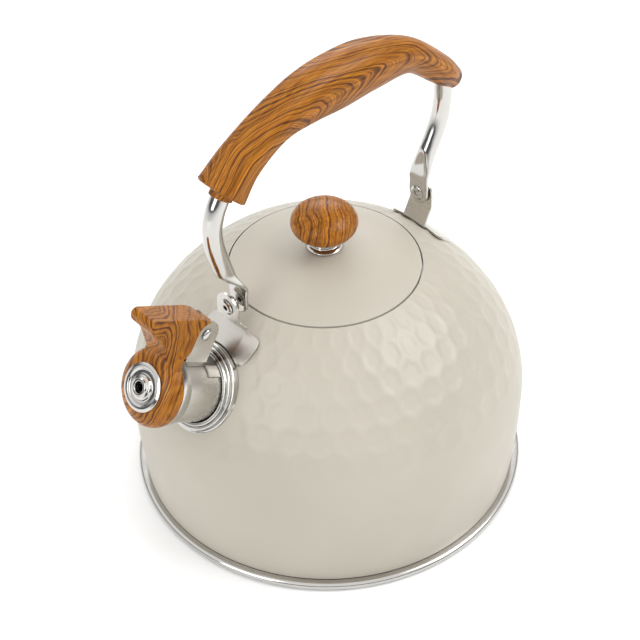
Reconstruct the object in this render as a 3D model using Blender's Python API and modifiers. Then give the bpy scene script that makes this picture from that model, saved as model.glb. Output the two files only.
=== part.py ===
"""Stovetop whistling kettle: a domed steel pot with a bail handle, a lift-off lid and a flip-up whistle cap.

Frame: metres, +Z up, origin at the centre of the underside, spout towards +X, handle above in the XZ plane.
Every named object in the collection "whistling_kettle" is one physical piece.
"""
import math

import bmesh
import bpy
from mathutils import Matrix, Vector

MM = 0.001

# ---------------------------------------------------------------- driving dimensions
GAP = 0.3 * MM                    # clearance between pieces that touch

# pot
BODY_RADIUS = 108.5 * MM          # widest point of the pot
FOOT_TAPER = 3.0 * MM             # the pot wall draws in this much from there down to the base rim
RIM_OVERHANG = 4.5 * MM           # rolled base rim outside the foot of the wall
CROWN_TOP = 149.5 * MM            # top of the dome that pot and lid share
CROWN_SPREAD = 6.5 * MM           # the dome's spherical radius is this much larger than the pot's
SHOULDER_SPREAD = 35.1 * MM       # the arc that turns dome into side has a radius this much smaller
WALL = 1.0 * MM                   # pot sheet
MOUTH_RADIUS = 51.8 * MM          # edge of the pot around the lid
LEDGE_DROP = 3.0 * MM             # depth of the ledge that the lid rests on
LEDGE_WIDTH = 5.0 * MM
NECK_DEPTH = 7.0 * MM

# base
RIM_BEAD = 2.3 * MM               # radius of the rolled bead
RIM_CLEARANCE = 0.5 * MM          # bead above the hob
BASE_PLATE = 1.2 * MM
BASE_FLANGE_HEIGHT = 9.0 * MM
PAN_CLEARANCE = 0.9 * MM          # pan's flange inside the pot wall
CAPSULE_INSET = 13.5 * MM         # capsule's edge inside the foot of the pot wall
CAPSULE_SHEET = 0.8 * MM
CAPSULE_EDGE = 1.2 * MM           # chamfer round the capsule's underside
HEAT_DISC = 3.0 * MM

# spout: an axis that leaves the dome, distances along it are measured from SPOUT_ROOT
SPOUT_ROOT_INSET = 21.3 * MM      # root of the axis inside the pot's widest point
SPOUT_ROOT_DROP = 4.474 * MM      # and under the dome's surface
SPOUT_TILT = math.radians(33.0)   # above the horizontal
SPOUT_RADIUS = 18.2 * MM
SPOUT_WALL = 1.0 * MM
SPOUT_INNER_END = -9.0 * MM
SPOUT_MOUTH = 31.5 * MM
SPOUT_LIP = 0.7 * MM              # rounding of the mouth's edge
COLLAR_RISE = 6.1 * MM            # collar outside the tube
COLLAR_HEIGHT = 5.6 * MM
COLLAR_LAND = 0.6 * MM            # flat top of the collar next to the tube
COLLAR_RIDGES = 3

# hinge bracket on the spout
EAR_HALF_SPACING = 6.7 * MM       # outer face of each ear from the middle plane
EAR_THICKNESS = 1.2 * MM
EAR_HALF_WIDTH = 7.6 * MM
EAR_START = 13.0 * MM             # rear edge of the ears along the spout
PIN_CLEARANCE = 15.4 * MM         # hinge pin above the tube
PIN_RADIUS = 1.6 * MM
PIN_HEAD_RADIUS = 3.2 * MM
PIN_HEAD_HEIGHT = 1.5 * MM
SADDLE_THICKNESS = 1.0 * MM
SADDLE_START = 6.6 * MM
FOOT_HALF_ANGLE = math.radians(46.0)
WEB_HALF_ANGLE = math.radians(27.0)

# whistle cap, lengths along the spout axis from SPOUT_ROOT and heights from that axis
CAP_LIP = 0.9 * MM                # cap's edge outside its liner
CAP_REAR = 34.4 * MM
CAP_EDGE_START = 35.5 * MM        # the front face curves forward from here
CAP_FRONT = 43.0 * MM
CAP_FLAT_RADIUS = 9.5 * MM        # flat middle of the front face
LINER_CLEARANCE = 0.7 * MM        # cap liner round the spout
LINER_WALL = 0.7 * MM
LINER_REAR = 28.5 * MM
LINER_SEAT = 2.2 * MM             # depth of the liner's seat in the moulding
LEVER_HALF_WIDTH = 8.6 * MM
LEVER_TIP = 62.8 * MM
LEVER_RISE = 8.9 * MM             # top of the lever above the hinge pin
LEVER_REAR = 22.0 * MM
LEVER_EDGE = 2.6 * MM             # rounding along the lever's sides
LEVER_SLOPE = 1.9 * MM            # fall of the lever's top towards its tip
LEVER_TIP_HEIGHT = 6.6 * MM
NECK_FLARE = 12.5 * MM            # half width of the neck where it meets the round cap
TONGUE_HALF_WIDTH = 5.1 * MM
EAR_NOTCH = 0.6 * MM              # clearance in the moulding round each ear
BEZEL_RADIUS = 12.6 * MM
BEZEL_FACE = 44.3 * MM
BOSS_FACE = 46.2 * MM             # raised middle of the whistle
STEM_RADIUS = 8.0 * MM
STEM_WALL = 0.8 * MM
WHISTLE_HOLE = 2.7 * MM
WHISTLE_SHEET = 0.7 * MM
CHAMBER_RADIUS = 11.5 * MM
CHAMBER_REAR = 25.0 * MM
SPRING_WIRE = 0.45 * MM           # wire radius
SPRING_TURNS = 3.5
SPRING_PITCH = 1.0 * MM
SPRING_SHORT_LEG = 5.0 * MM
SPRING_SIDES = 12                 # points in each turn of wire

# handle
PIVOT_DROP = 2.5 * MM             # the line through both handle rivets is this far under the dome's top
FRONT_PIVOT_OUT = 14.2 * MM       # inner face of the front bracket's tongue outside the mouth
REAR_PIVOT_OUT = 19.9 * MM        # inner face of the rear bracket's tongue outside the mouth
ARM_RADIUS = 5.0 * MM
ARM_PLATE_HALF_WIDTH = 6.6 * MM
ARM_PLATE_THICKNESS = 2.4 * MM
ARM_PLATE_RISE = 11.0 * MM        # this far above the rivets the flat end grows into the round rod
ARM_ROUND_RISE = 25.0 * MM        # and from here up the rod is round
RIVET_SHANK = 2.4 * MM
RIVET_BORE = 1.4 * MM
RIVET_HEAD = 4.3 * MM
RIVET_HEAD_HEIGHT = 1.1 * MM
GRIP_BOSS_WALL = 1.2 * MM         # moulded boss round the front arm
GRIP_BOSS_LENGTH = 12.0 * MM
GRIP_BOSS_START = 1.0 * MM        # from the arm line's last point but one, towards the grip

# brackets: a foot on the dome, a neck that leans out from it and an upright tongue
BRACKET_SHEET = 1.2 * MM
NECK_HALF_WIDTH = 8.0 * MM        # neck and tongue, whose head is round
FOLD_DROP = 7.7 * MM              # from the rivet down to the fold between tongue and neck
NECK_SETBACK = 5.2 * MM           # from the tongue in to the neck's root
FOOT_LENGTH = 14.5 * MM
FOOT_HALF_WIDTH = 18.4 * MM
FOOT_RELIEF = 0.8 * MM            # foot widens this far out from the neck

# centre lines of the two arms above their flat ends: distance outwards from the bracket's tongue
# and height above the rivets, in millimetres
FRONT_ARM_LINE = [
    (-1.8, 11.0),
    (0.2, 21.0),
    (3.6, 31.5),
    (6.3, 43.0),
    (6.8, 53.0),
    (4.6, 61.6),
    (1.2, 68.1),
    (-3.8, 75.6),
]
REAR_ARM_LINE = [
    (-1.2, 11.0),
    (1.9, 20.0),
    (7.5, 30.5),
    (12.5, 42.0),
    (14.7, 54.0),
    (14.3, 67.0),
]

# centre line of the grip, in the same way, the front half from the front tongue and the rear half
# from the rear one: outwards, height, then the moulding's thickness above and beside the rod inside
GRIP_FRONT = [
    (0.2, 71.9, 8.6, 7.2),
    (-12.8, 84.1, 5.4, 6.6),
    (-33.2, 95.2, 5.3, 6.0),
    (-54.2, 99.9, 8.5, 6.8),
]
GRIP_REAR = [
    (-63.3, 100.6, 9.7, 7.8),
    (-40.9, 99.8, 8.3, 7.4),
    (-13.5, 92.9, 4.2, 4.8),
    (9.3, 74.9, 3.1, 4.4),
    (19.5, 65.1, 1.6, 2.0),
]
GRIP_TAIL = 4.8 * MM              # length of the rounded tail past the last station

# lid and knob
LID_SEAM = 0.8 * MM
LID_COLLAR_DEPTH = 9.0 * MM
LID_COLLAR_CLEARANCE = 0.8 * MM
FERRULE_RADIUS = 10.0 * MM
FERRULE_HEIGHT = 4.6 * MM
KNOB_RADIUS = 17.8 * MM
KNOB_HEIGHT = 20.6 * MM
KNOB_FLAT = 7.0 * MM              # flat underside of the knob
KNOB_SOCKET = 12.0 * MM           # depth of the screw's hole in the knob
SCREW_RADIUS = 2.5 * MM
SCREW_HEAD_RADIUS = 4.5 * MM
SCREW_HEAD_HEIGHT = 2.4 * MM

# number of facets round a turned piece
FINE = 48
MEDIUM = 32
SMALL = 20
TINY = 12

# ---------------------------------------------------------------- colours: base colour, roughness, metallic
ENAMEL = ((0.63, 0.57, 0.49, 1.0), 0.5, 0.0)
STEEL = ((0.72, 0.71, 0.69, 1.0), 0.18, 1.0)
ALUMINIUM = ((0.75, 0.75, 0.76, 1.0), 0.4, 1.0)
WOOD_FILM = ((0.50, 0.24, 0.07, 1.0), 0.35, 0.0)

PIECES = "whistling_kettle"
CUTTERS = "cutters"


# ---------------------------------------------------------------- scene helpers
def clear_scene():
    for obj in list(bpy.data.objects):
        bpy.data.objects.remove(obj, do_unlink=True)


def collection(name):
    made = bpy.data.collections.new(name)
    bpy.context.scene.collection.children.link(made)
    return made


def finish(obj, look):
    """Give a piece its own material and smooth shading with sharp edges."""
    colour, roughness, metallic = look
    mat = bpy.data.materials.new(obj.name + "_finish")
    mat.use_nodes = True
    shader = mat.node_tree.nodes["Principled BSDF"]
    shader.inputs["Base Color"].default_value = colour
    shader.inputs["Roughness"].default_value = roughness
    shader.inputs["Metallic"].default_value = metallic
    obj.data.materials.clear()
    obj.data.materials.append(mat)
    obj.data.shade_smooth()
    if hasattr(obj.data, "set_sharp_from_angle"):
        obj.data.set_sharp_from_angle(angle=math.radians(35.0))
    return obj


def link(name, mesh, group, place=None):
    obj = bpy.data.objects.new(name, mesh)
    bpy.data.collections[group].objects.link(obj)
    obj.matrix_world = place if place is not None else Matrix.Identity(4)
    if group == CUTTERS:
        obj.hide_render = True
        obj.display_type = "WIRE"
    return obj


def turned(name, profile, steps, group=PIECES, place=None):
    """Turn an outline of (radius, height) points about Z.

    The outline runs down the outer side. It is closed back to its start unless both ends lie on the axis.
    """
    mesh = bpy.data.meshes.new(name)
    count = len(profile)
    edges = [(i, i + 1) for i in range(count - 1)]
    if profile[0][0] > 0.0 or profile[-1][0] > 0.0:
        edges.append((count - 1, 0))
    mesh.from_pydata([(r, 0.0, z) for r, z in profile], edges, [])
    obj = link(name, mesh, group, place)
    screw = obj.modifiers.new("turn", "SCREW")
    screw.steps = steps
    screw.render_steps = steps
    screw.use_merge_vertices = True
    screw.merge_threshold = 0.00005
    screw.use_smooth_shade = True
    return obj


def as_mesh(obj, name, group, place=None):
    """Replace a curve object by its evaluated mesh, with the caps welded on."""
    bpy.context.view_layer.update()
    depsgraph = bpy.context.evaluated_depsgraph_get()
    mesh = bpy.data.meshes.new_from_object(obj.evaluated_get(depsgraph))
    matrix = obj.matrix_world.copy() if place is None else place
    bpy.data.objects.remove(obj, do_unlink=True)
    soup = bmesh.new()
    soup.from_mesh(mesh)
    bmesh.ops.remove_doubles(soup, verts=soup.verts, dist=0.00001)
    bmesh.ops.recalc_face_normals(soup, faces=soup.faces)
    soup.to_mesh(mesh)
    soup.free()
    mesh.name = name
    return link(name, mesh, group, matrix)


def plate(name, outline, thickness, place, group=PIECES):
    """A flat outline in its own XY plane, as thick on each side of it as half the thickness."""
    curve = bpy.data.curves.new(name + "_outline", "CURVE")
    curve.dimensions = "2D"
    curve.fill_mode = "BOTH"
    curve.extrude = thickness / 2.0
    spline = curve.splines.new("POLY")
    spline.points.add(len(outline) - 1)
    for point, (x, y) in zip(spline.points, outline):
        point.co = (x, y, 0.0, 1.0)
    spline.use_cyclic_u = True
    obj = bpy.data.objects.new(name + "_outline", curve)
    bpy.data.collections[group].objects.link(obj)
    obj.matrix_world = place
    return as_mesh(obj, name, group)


def rod(name, points, radii, sides=3, group=PIECES):
    """A round rod along a list of points, with one radius or one radius for each point."""
    curve = bpy.data.curves.new(name + "_path", "CURVE")
    curve.dimensions = "3D"
    curve.bevel_depth = 1.0 * MM
    curve.bevel_resolution = sides
    curve.use_fill_caps = True
    spline = curve.splines.new("POLY")
    spline.points.add(len(points) - 1)
    if not isinstance(radii, (list, tuple)):
        radii = [radii] * len(points)
    for point, place, radius in zip(spline.points, points, radii):
        point.co = (place[0], place[1], place[2], 1.0)
        point.radius = radius / MM
    obj = bpy.data.objects.new(name + "_path", curve)
    bpy.data.collections[group].objects.link(obj)
    return as_mesh(obj, name, group)


def cylinder(name, radius, length, place, steps=SMALL, group=CUTTERS):
    """A solid cylinder centred on its place, along its own Z."""
    mesh = bpy.data.meshes.new(name)
    soup = bmesh.new()
    bmesh.ops.create_cone(soup, cap_ends=True, segments=steps, radius1=radius, radius2=radius, depth=length)
    soup.to_mesh(mesh)
    soup.free()
    return link(name, mesh, group, place)


def box(name, size, place, group=CUTTERS):
    mesh = bpy.data.meshes.new(name)
    soup = bmesh.new()
    bmesh.ops.create_cube(soup, size=1.0, matrix=Matrix.Diagonal((size[0], size[1], size[2], 1.0)))
    soup.to_mesh(mesh)
    soup.free()
    return link(name, mesh, group, place)


def boolean(obj, other, operation="DIFFERENCE", solver="EXACT"):
    step = obj.modifiers.new(operation.lower(), "BOOLEAN")
    step.operation = operation
    step.solver = solver
    step.object = other
    return obj


def bevel(obj, width, segments=2, angle=35.0):
    step = obj.modifiers.new("round_edges", "BEVEL")
    step.width = width
    step.segments = segments
    step.limit_method = "ANGLE"
    step.angle_limit = math.radians(angle)
    return obj


# ---------------------------------------------------------------- geometry helpers
def arc(centre, radius, start, end, steps):
    """Points on a circle, from one angle to another, in radians from the first axis."""
    cx, cy = centre
    angles = [start + (end - start) * i / steps for i in range(steps + 1)]
    return [(cx + radius * math.cos(a), cy + radius * math.sin(a)) for a in angles]


def rounded(corners, steps=4):
    """A closed outline from (x, y, radius) corners, each rounded by its radius."""
    outline = []
    count = len(corners)
    for i, (x, y, radius) in enumerate(corners):
        here = Vector((x, y))
        if radius <= 0.0:
            outline.append((x, y))
            continue
        before = (Vector(corners[i - 1][:2]) - here).normalized()
        after = (Vector(corners[(i + 1) % count][:2]) - here).normalized()
        half = before.angle(after) / 2.0
        centre = here + (before + after).normalized() * (radius / math.sin(half))
        first = here + before * (radius / math.tan(half)) - centre
        last = here + after * (radius / math.tan(half)) - centre
        sweep = first.angle_signed(last)
        for k in range(steps + 1):
            turn = Matrix.Rotation(-sweep * k / steps, 2)
            outline.append(tuple(centre + turn @ first))
    return outline


def smooth_path(points, per_span):
    """Points along a Catmull-Rom curve through the given points, which may have any number of values."""
    ends = [[2 * a - b for a, b in zip(points[0], points[1])]]
    ends.append([2 * a - b for a, b in zip(points[-1], points[-2])])
    line = [ends[0]] + [list(p) for p in points] + [ends[1]]
    path = []
    for i in range(1, len(line) - 2):
        p0, p1, p2, p3 = line[i - 1:i + 3]
        for k in range(per_span):
            t = k / per_span
            path.append([0.5 * (2 * b + (c - a) * t + (2 * a - 5 * b + 4 * c - d) * t ** 2
                                + (3 * b - a - 3 * c + d) * t ** 3) for a, b, c, d in zip(p0, p1, p2, p3)])
    path.append(list(line[-2]))
    return path


def spout_place(along=0.0):
    """A frame on the spout axis: own Z runs out along the spout, own X points down and forward."""
    out = Vector((math.cos(SPOUT_TILT), 0.0, math.sin(SPOUT_TILT)))
    root = Vector((SPOUT_ROOT_X, 0.0, SPOUT_ROOT_Z))
    turn = Matrix.Rotation(math.pi / 2 - SPOUT_TILT, 4, "Y")
    return Matrix.Translation(root + out * along) @ turn


def spout_side_place():
    """A frame for side outlines of the cap: own X along the spout, own Y up from its axis, own Z across."""
    out = Vector((math.cos(SPOUT_TILT), 0.0, math.sin(SPOUT_TILT)))
    up = Vector((-math.sin(SPOUT_TILT), 0.0, math.cos(SPOUT_TILT)))
    across = out.cross(up)
    turn = Matrix((out, up, across)).transposed().to_4x4()
    return Matrix.Translation((SPOUT_ROOT_X, 0.0, SPOUT_ROOT_Z)) @ turn


def pin_place():
    """A frame on the cap's hinge axis, own Z across the kettle."""
    return spout_side_place() @ Matrix.Translation((PIN_ALONG, PIN_HEIGHT, 0.0))


# ---------------------------------------------------------------- derived sizes
BODY_FOOT_RADIUS = BODY_RADIUS - FOOT_TAPER    # pot wall where it meets the base rim
BASE_RADIUS = BODY_FOOT_RADIUS + RIM_OVERHANG
CROWN_RADIUS = BODY_RADIUS + CROWN_SPREAD
SHOULDER_RADIUS = BODY_RADIUS - SHOULDER_SPREAD
CAPSULE_RADIUS = BODY_FOOT_RADIUS - CAPSULE_INSET
COLLAR_RADIUS = SPOUT_RADIUS + COLLAR_RISE
PIN_HEIGHT = SPOUT_RADIUS + PIN_CLEARANCE      # hinge pin above the spout axis
LEVER_TOP = PIN_HEIGHT + LEVER_RISE
PIVOT_HEIGHT = CROWN_TOP - PIVOT_DROP
FRONT_PIVOT_X = MOUTH_RADIUS + FRONT_PIVOT_OUT
REAR_PIVOT_X = MOUTH_RADIUS + REAR_PIVOT_OUT
ARM_PLATE_TOP = PIVOT_HEIGHT + ARM_PLATE_RISE
ARM_ROUND_FROM = PIVOT_HEIGHT + ARM_ROUND_RISE
GRIP_BOSS_RADIUS = ARM_RADIUS + GRIP_BOSS_WALL
PIN_ALONG = EAR_START + EAR_HALF_WIDTH
EAR_END = EAR_START + 2 * EAR_HALF_WIDTH
EAR_MIDDLE = EAR_HALF_SPACING - EAR_THICKNESS / 2
EAR_BOTTOM = math.sqrt((SPOUT_RADIUS + GAP + SADDLE_THICKNESS / 2) ** 2 - EAR_MIDDLE ** 2)
LINER_INNER = SPOUT_RADIUS + LINER_CLEARANCE
LINER_OUTER = LINER_INNER + LINER_WALL
CAP_RADIUS = LINER_OUTER + CAP_LIP
LID_RADIUS = MOUTH_RADIUS - LID_SEAM
BASE_TOP = RIM_CLEARANCE + 2 * RIM_BEAD        # top of the rolled bead
BODY_FOOT = BASE_TOP + GAP                     # lower edge of the pot wall
CROWN_CENTRE = CROWN_TOP - CROWN_RADIUS        # height of the dome's centre
SPOUT_ROOT_X = BODY_RADIUS - SPOUT_ROOT_INSET
SPOUT_ROOT_Z = CROWN_CENTRE + math.sqrt(CROWN_RADIUS ** 2 - SPOUT_ROOT_X ** 2) - SPOUT_ROOT_DROP
CAPSULE_TOP = 2 * CAPSULE_SHEET + HEAT_DISC    # the pot's bottom plate starts a gap above this


def pot_arcs():
    """Tangent angle and centres of the dome, shoulder and side arcs, in (radius, height)."""
    turn = math.asin((BODY_RADIUS - SHOULDER_RADIUS) / (CROWN_RADIUS - SHOULDER_RADIUS))
    reach = CROWN_RADIUS - SHOULDER_RADIUS
    shoulder = (reach * math.sin(turn), CROWN_CENTRE + reach * math.cos(turn))
    drop = shoulder[1] - BODY_FOOT
    inset = BODY_RADIUS - BODY_FOOT_RADIUS
    side_radius = (drop ** 2 + inset ** 2) / (2 * inset)
    side = (BODY_RADIUS - side_radius, shoulder[1])
    return turn, shoulder, side, side_radius


def pot_outline(offset, top_radius, dome_steps=5, shoulder_steps=6, side_steps=3):
    """The pot's outer surface from the mouth down to the foot, moved outwards by an offset."""
    turn, shoulder, side, side_radius = pot_arcs()
    quarter = math.pi / 2
    start = math.acos(top_radius / (CROWN_RADIUS + offset))
    dome = arc((0.0, CROWN_CENTRE), CROWN_RADIUS + offset, start, quarter - turn, dome_steps)
    bend = arc(shoulder, SHOULDER_RADIUS + offset, quarter - turn, 0.0, shoulder_steps)
    foot_angle = -math.asin((shoulder[1] - BODY_FOOT) / side_radius)
    lower = arc(side, side_radius + offset, 0.0, foot_angle, side_steps)
    return dome + bend[1:] + lower[1:]


def dome_height(radius, offset=0.0):
    """Height of the dome's outer surface, moved outwards by an offset, at a distance from the axis."""
    return CROWN_CENTRE + math.sqrt((CROWN_RADIUS + offset) ** 2 - radius ** 2)


# ---------------------------------------------------------------- pot
def dome_cutter(name, offset, steps=FINE):
    """The whole pot as a solid, grown by an offset, for seating pieces on it."""
    profile = [(0.0, CROWN_TOP + offset)] + pot_outline(offset, MOUTH_RADIUS) + [(0.0, BODY_FOOT)]
    return turned(name, profile, steps, CUTTERS)


def make_body_shell():
    outer = pot_outline(0.0, MOUTH_RADIUS)
    inner = pot_outline(-WALL, MOUTH_RADIUS + WALL)
    inner[-1] = (inner[-1][0], BODY_FOOT)
    mouth_z = outer[0][1]
    ledge_z = mouth_z - LEDGE_DROP
    neck = MOUTH_RADIUS - LEDGE_WIDTH
    rim = [
        (neck, ledge_z),
        (neck - WALL, ledge_z),
        (neck - WALL, ledge_z - NECK_DEPTH),
        (neck, ledge_z - NECK_DEPTH),
        (neck, ledge_z - WALL),
        (MOUTH_RADIUS + WALL, ledge_z - WALL),
    ]
    profile = outer + list(reversed(inner)) + list(reversed(rim)) + [(MOUTH_RADIUS, ledge_z)]
    shell = turned("body_shell", profile, FINE)
    hole = cylinder("spout_hole", SPOUT_RADIUS + GAP, 60 * MM, spout_place(0.0), MEDIUM)
    boolean(shell, hole)
    finish(shell, ENAMEL)


def make_base():
    """The bottom pan with its rolled rim, and the capsule under it with its aluminium heat disc."""
    bead = (BASE_RADIUS - RIM_BEAD, RIM_CLEARANCE + RIM_BEAD)
    plate_low = CAPSULE_TOP + GAP
    plate_high = plate_low + BASE_PLATE
    flange_top = BODY_FOOT + BASE_FLANGE_HEIGHT
    flange_out = BODY_FOOT_RADIUS - WALL - PAN_CLEARANCE
    flange_in = flange_out - BASE_PLATE
    bead_arc = arc(bead, RIM_BEAD, math.pi / 2, -math.pi / 2, 6)
    pan = turned("base_pan", [
        (0.0, plate_high),
        (flange_in - BASE_PLATE, plate_high),
        (flange_in, plate_high + BASE_PLATE),
        (flange_in, flange_top),
        (flange_out, flange_top),
        (flange_out, BASE_TOP),
    ] + bead_arc + [
        (bead[0] - CAPSULE_EDGE, RIM_CLEARANCE),
        (flange_in, plate_low),
        (0.0, plate_low),
    ], FINE)
    finish(pan, STEEL)

    inside = CAPSULE_RADIUS - CAPSULE_SHEET
    cover = turned("capsule_cover", [
        (0.0, CAPSULE_SHEET),
        (inside - GAP, CAPSULE_SHEET),
        (inside, CAPSULE_SHEET + GAP),
        (inside, CAPSULE_TOP),
        (CAPSULE_RADIUS, CAPSULE_TOP),
        (CAPSULE_RADIUS, CAPSULE_EDGE),
        (CAPSULE_RADIUS - CAPSULE_EDGE, 0.0),
        (0.0, 0.0),
    ], FINE)
    finish(cover, STEEL)

    disc_radius = inside - 2 * GAP
    disc = turned("heat_disc", [
        (0.0, CAPSULE_TOP - GAP),
        (disc_radius, CAPSULE_TOP - GAP),
        (disc_radius, CAPSULE_SHEET + GAP),
        (0.0, CAPSULE_SHEET + GAP),
    ], FINE)
    finish(disc, ALUMINIUM)


# ---------------------------------------------------------------- spout
def make_spout():
    tube = turned("spout_tube", [
        (SPOUT_RADIUS - SPOUT_WALL, SPOUT_MOUTH),
        (SPOUT_RADIUS - SPOUT_LIP / 2, SPOUT_MOUTH),
        (SPOUT_RADIUS, SPOUT_MOUTH - SPOUT_LIP),
        (SPOUT_RADIUS, SPOUT_INNER_END),
        (SPOUT_RADIUS - SPOUT_WALL, SPOUT_INNER_END),
    ], MEDIUM, place=spout_place())
    finish(tube, STEEL)

    inner = SPOUT_RADIUS + GAP
    step = (COLLAR_RADIUS - inner - COLLAR_LAND) / COLLAR_RIDGES
    rise = COLLAR_HEIGHT / COLLAR_RIDGES
    outline = [(inner, COLLAR_HEIGHT)]
    for i in range(COLLAR_RIDGES):
        outside = inner + COLLAR_LAND + step * (i + 1)
        top = COLLAR_HEIGHT - rise * i
        outline.append((outside - 0.75 * step, top))
        outline.append((outside - 0.25 * step, top - 0.2 * rise))
        outline.append((outside, top - 0.5 * rise))
    buried = SPOUT_INNER_END + GAP
    outline += [(COLLAR_RADIUS, buried), (inner, buried)]
    collar = turned("spout_collar", outline, MEDIUM, place=spout_place())
    boolean(collar, dome_cutter("dome_under_collar", GAP))
    finish(collar, STEEL)


def saddle_strip(name, start, end, half_angle):
    """A strip of sheet wrapped over the top of the spout tube."""
    inner = SPOUT_RADIUS + GAP
    outer = inner + SADDLE_THICKNESS
    up = math.pi / 2
    outline = arc((0.0, 0.0), outer, up - half_angle, up + half_angle, 10)
    outline += arc((0.0, 0.0), inner, up + half_angle, up - half_angle, 10)
    turn = Matrix.Rotation(math.pi / 2, 4, "Z")
    middle = (start + end) / 2
    return plate(name, outline, end - start, spout_place(middle) @ turn, CUTTERS)


def make_spout_bracket():
    foot = saddle_strip("saddle_feet", SADDLE_START, EAR_START + 1.5 * MM, FOOT_HALF_ANGLE)
    web = saddle_strip("saddle_web", SADDLE_START + 1.0 * MM, EAR_END, WEB_HALF_ANGLE)
    side = spout_side_place()
    ear_place = side @ Matrix.Translation((0, 0, EAR_MIDDLE))
    bracket = plate("spout_bracket", ear_outline(0.0), EAR_THICKNESS, ear_place)
    other_side = side @ Matrix.Translation((0, 0, -EAR_MIDDLE))
    other = plate("ear_other", ear_outline(0.0), EAR_THICKNESS, other_side, CUTTERS)
    for piece in (web, other, foot):                # web and ears end in one plane
        boolean(bracket, piece, "UNION", "MANIFOLD")
    boolean(bracket, cylinder("ear_hole", PIN_RADIUS + GAP, 40 * MM, pin_place()))
    finish(bracket, STEEL)


# ---------------------------------------------------------------- whistle cap
def ear_outline(grow):
    """The ear's side outline, grown by a clearance."""
    crown = arc((PIN_ALONG, PIN_HEIGHT), EAR_HALF_WIDTH + grow, 0.0, math.pi, 12)
    low = EAR_BOTTOM - grow
    return crown + [(EAR_START - grow, low), (EAR_END + grow, low)]


def make_cap_lever():
    """The thumb lever's side outline, as wide as the lever, with rounded long edges."""
    root = LINER_OUTER + 2 * GAP
    inside = STEM_RADIUS + 6.0 * MM
    tip_low = LEVER_TOP - LEVER_SLOPE - LEVER_TIP_HEIGHT
    lever = plate("cap_lever", rounded([
        (EAR_END + EAR_NOTCH, root, 0.0),
        (CAP_REAR + GAP, root, 0.0),
        (CAP_REAR + GAP, inside, 0.0),
        (CAP_FRONT - 0.6 * MM, inside, 0.0),
        (CAP_FRONT - 0.6 * MM, CAP_RADIUS - 3.0 * MM, 5.0 * MM),
        (LEVER_TIP - 9.5 * MM, tip_low - 4.0 * MM, 12.0 * MM),
        (LEVER_TIP - 2.0 * MM, tip_low, 2.4 * MM),
        (LEVER_TIP, tip_low + 3.0 * MM, 2.0 * MM),
        (LEVER_TIP - 1.0 * MM, LEVER_TOP - LEVER_SLOPE, 2.4 * MM),
        (EAR_END, LEVER_TOP, 6.0 * MM),
        (LEVER_REAR, LEVER_TOP - 1.0 * MM, 1.2 * MM),
        (LEVER_REAR, PIN_HEIGHT, 0.0),
        (EAR_END + EAR_NOTCH, PIN_HEIGHT, 0.0),
    ], 5), 2 * LEVER_HALF_WIDTH, spout_side_place(), CUTTERS)
    return bevel(lever, LEVER_EDGE, 3)


def make_cap_neck():
    """The neck's flare into the round cap, seen along the spout."""
    root = CAP_RADIUS - 8.0 * MM
    blend = CAP_RADIUS + 7.5 * MM
    half = LEVER_HALF_WIDTH - 0.8 * MM
    right = arc((blend, half + 8.0 * MM), 8.0 * MM, -math.pi / 2, -math.pi / 2 - 1.0, 5)
    right.append((root, NECK_FLARE))
    outline = right + [(x, -y) for x, y in reversed(right)]
    depth = CAP_FRONT - 3.0 * MM - CAP_REAR
    middle = CAP_REAR + depth / 2
    turn = Matrix.Rotation(math.pi, 4, "Z")
    neck = plate("cap_neck", outline, depth, spout_place(middle) @ turn, CUTTERS)
    return bevel(neck, 1.2 * MM, 2)


def make_cap_tongue():
    """The part of the moulding that turns on the pin between the ears."""
    tongue = plate("cap_tongue", rounded([
        (EAR_END + 6.0 * MM, LINER_OUTER + 3.0 * MM, 0.0),
        (EAR_END + 6.0 * MM, LEVER_TOP - 1.0 * MM, 0.0),
        (LEVER_REAR + GAP, LEVER_TOP - 1.6 * MM, 2.0 * MM),
        (EAR_START, PIN_HEIGHT + 5.5 * MM, 5.0 * MM),
        (EAR_START, PIN_HEIGHT - 5.0 * MM, 4.5 * MM),
        (PIN_ALONG, PIN_HEIGHT - 8.4 * MM, 3.0 * MM),
    ], 4), 2 * TONGUE_HALF_WIDTH, spout_side_place(), CUTTERS)
    return tongue


def make_cap_moulding():
    bore = STEM_RADIUS + GAP
    recess = LINER_OUTER + GAP
    seat = CAP_REAR + LINER_SEAT
    reach = CAP_RADIUS - CAP_FLAT_RADIUS
    depth = CAP_FRONT - CAP_EDGE_START
    front = [(CAP_FLAT_RADIUS + reach * x, CAP_EDGE_START + depth * y)
             for x, y in arc((0.0, 0.0), 1.0, math.pi / 2, 0.0, 7)]
    disc = turned("cap_moulding", [(bore, CAP_FRONT)] + front + [
        (CAP_RADIUS, CAP_REAR),
        (bore, CAP_REAR),
    ], MEDIUM, place=spout_place())
    boolean(disc, make_cap_lever(), "UNION")
    boolean(disc, make_cap_neck(), "UNION")
    boolean(disc, make_cap_tongue(), "UNION")
    length = 16.0 * MM
    boolean(disc, cylinder("liner_recess", recess, length, spout_place(seat - length / 2), MEDIUM))
    notch_width = 2 * (LEVER_HALF_WIDTH - TONGUE_HALF_WIDTH)
    for side in (1.0, -1.0):
        across = Matrix.Translation((0.0, 0.0, side * (TONGUE_HALF_WIDTH + notch_width / 2)))
        notch = plate("ear_notch", ear_outline(EAR_NOTCH), notch_width, spout_side_place() @ across, CUTTERS)
        boolean(disc, notch)
    boolean(disc, cylinder("tongue_hole", PIN_RADIUS + GAP, 40 * MM, pin_place()))
    coil = PIN_RADIUS + 2 * GAP + 2 * SPRING_WIRE
    width = SPRING_TURNS * SPRING_PITCH + 2 * SPRING_WIRE + 2 * GAP
    pocket = Matrix.Translation((-2 * coil + 2 * GAP, -2 * coil + GAP, 0.0))
    boolean(disc, box("spring_pocket", (6 * coil, 6 * coil, width), pin_place() @ pocket))
    finish(disc, WOOD_FILM)


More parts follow.
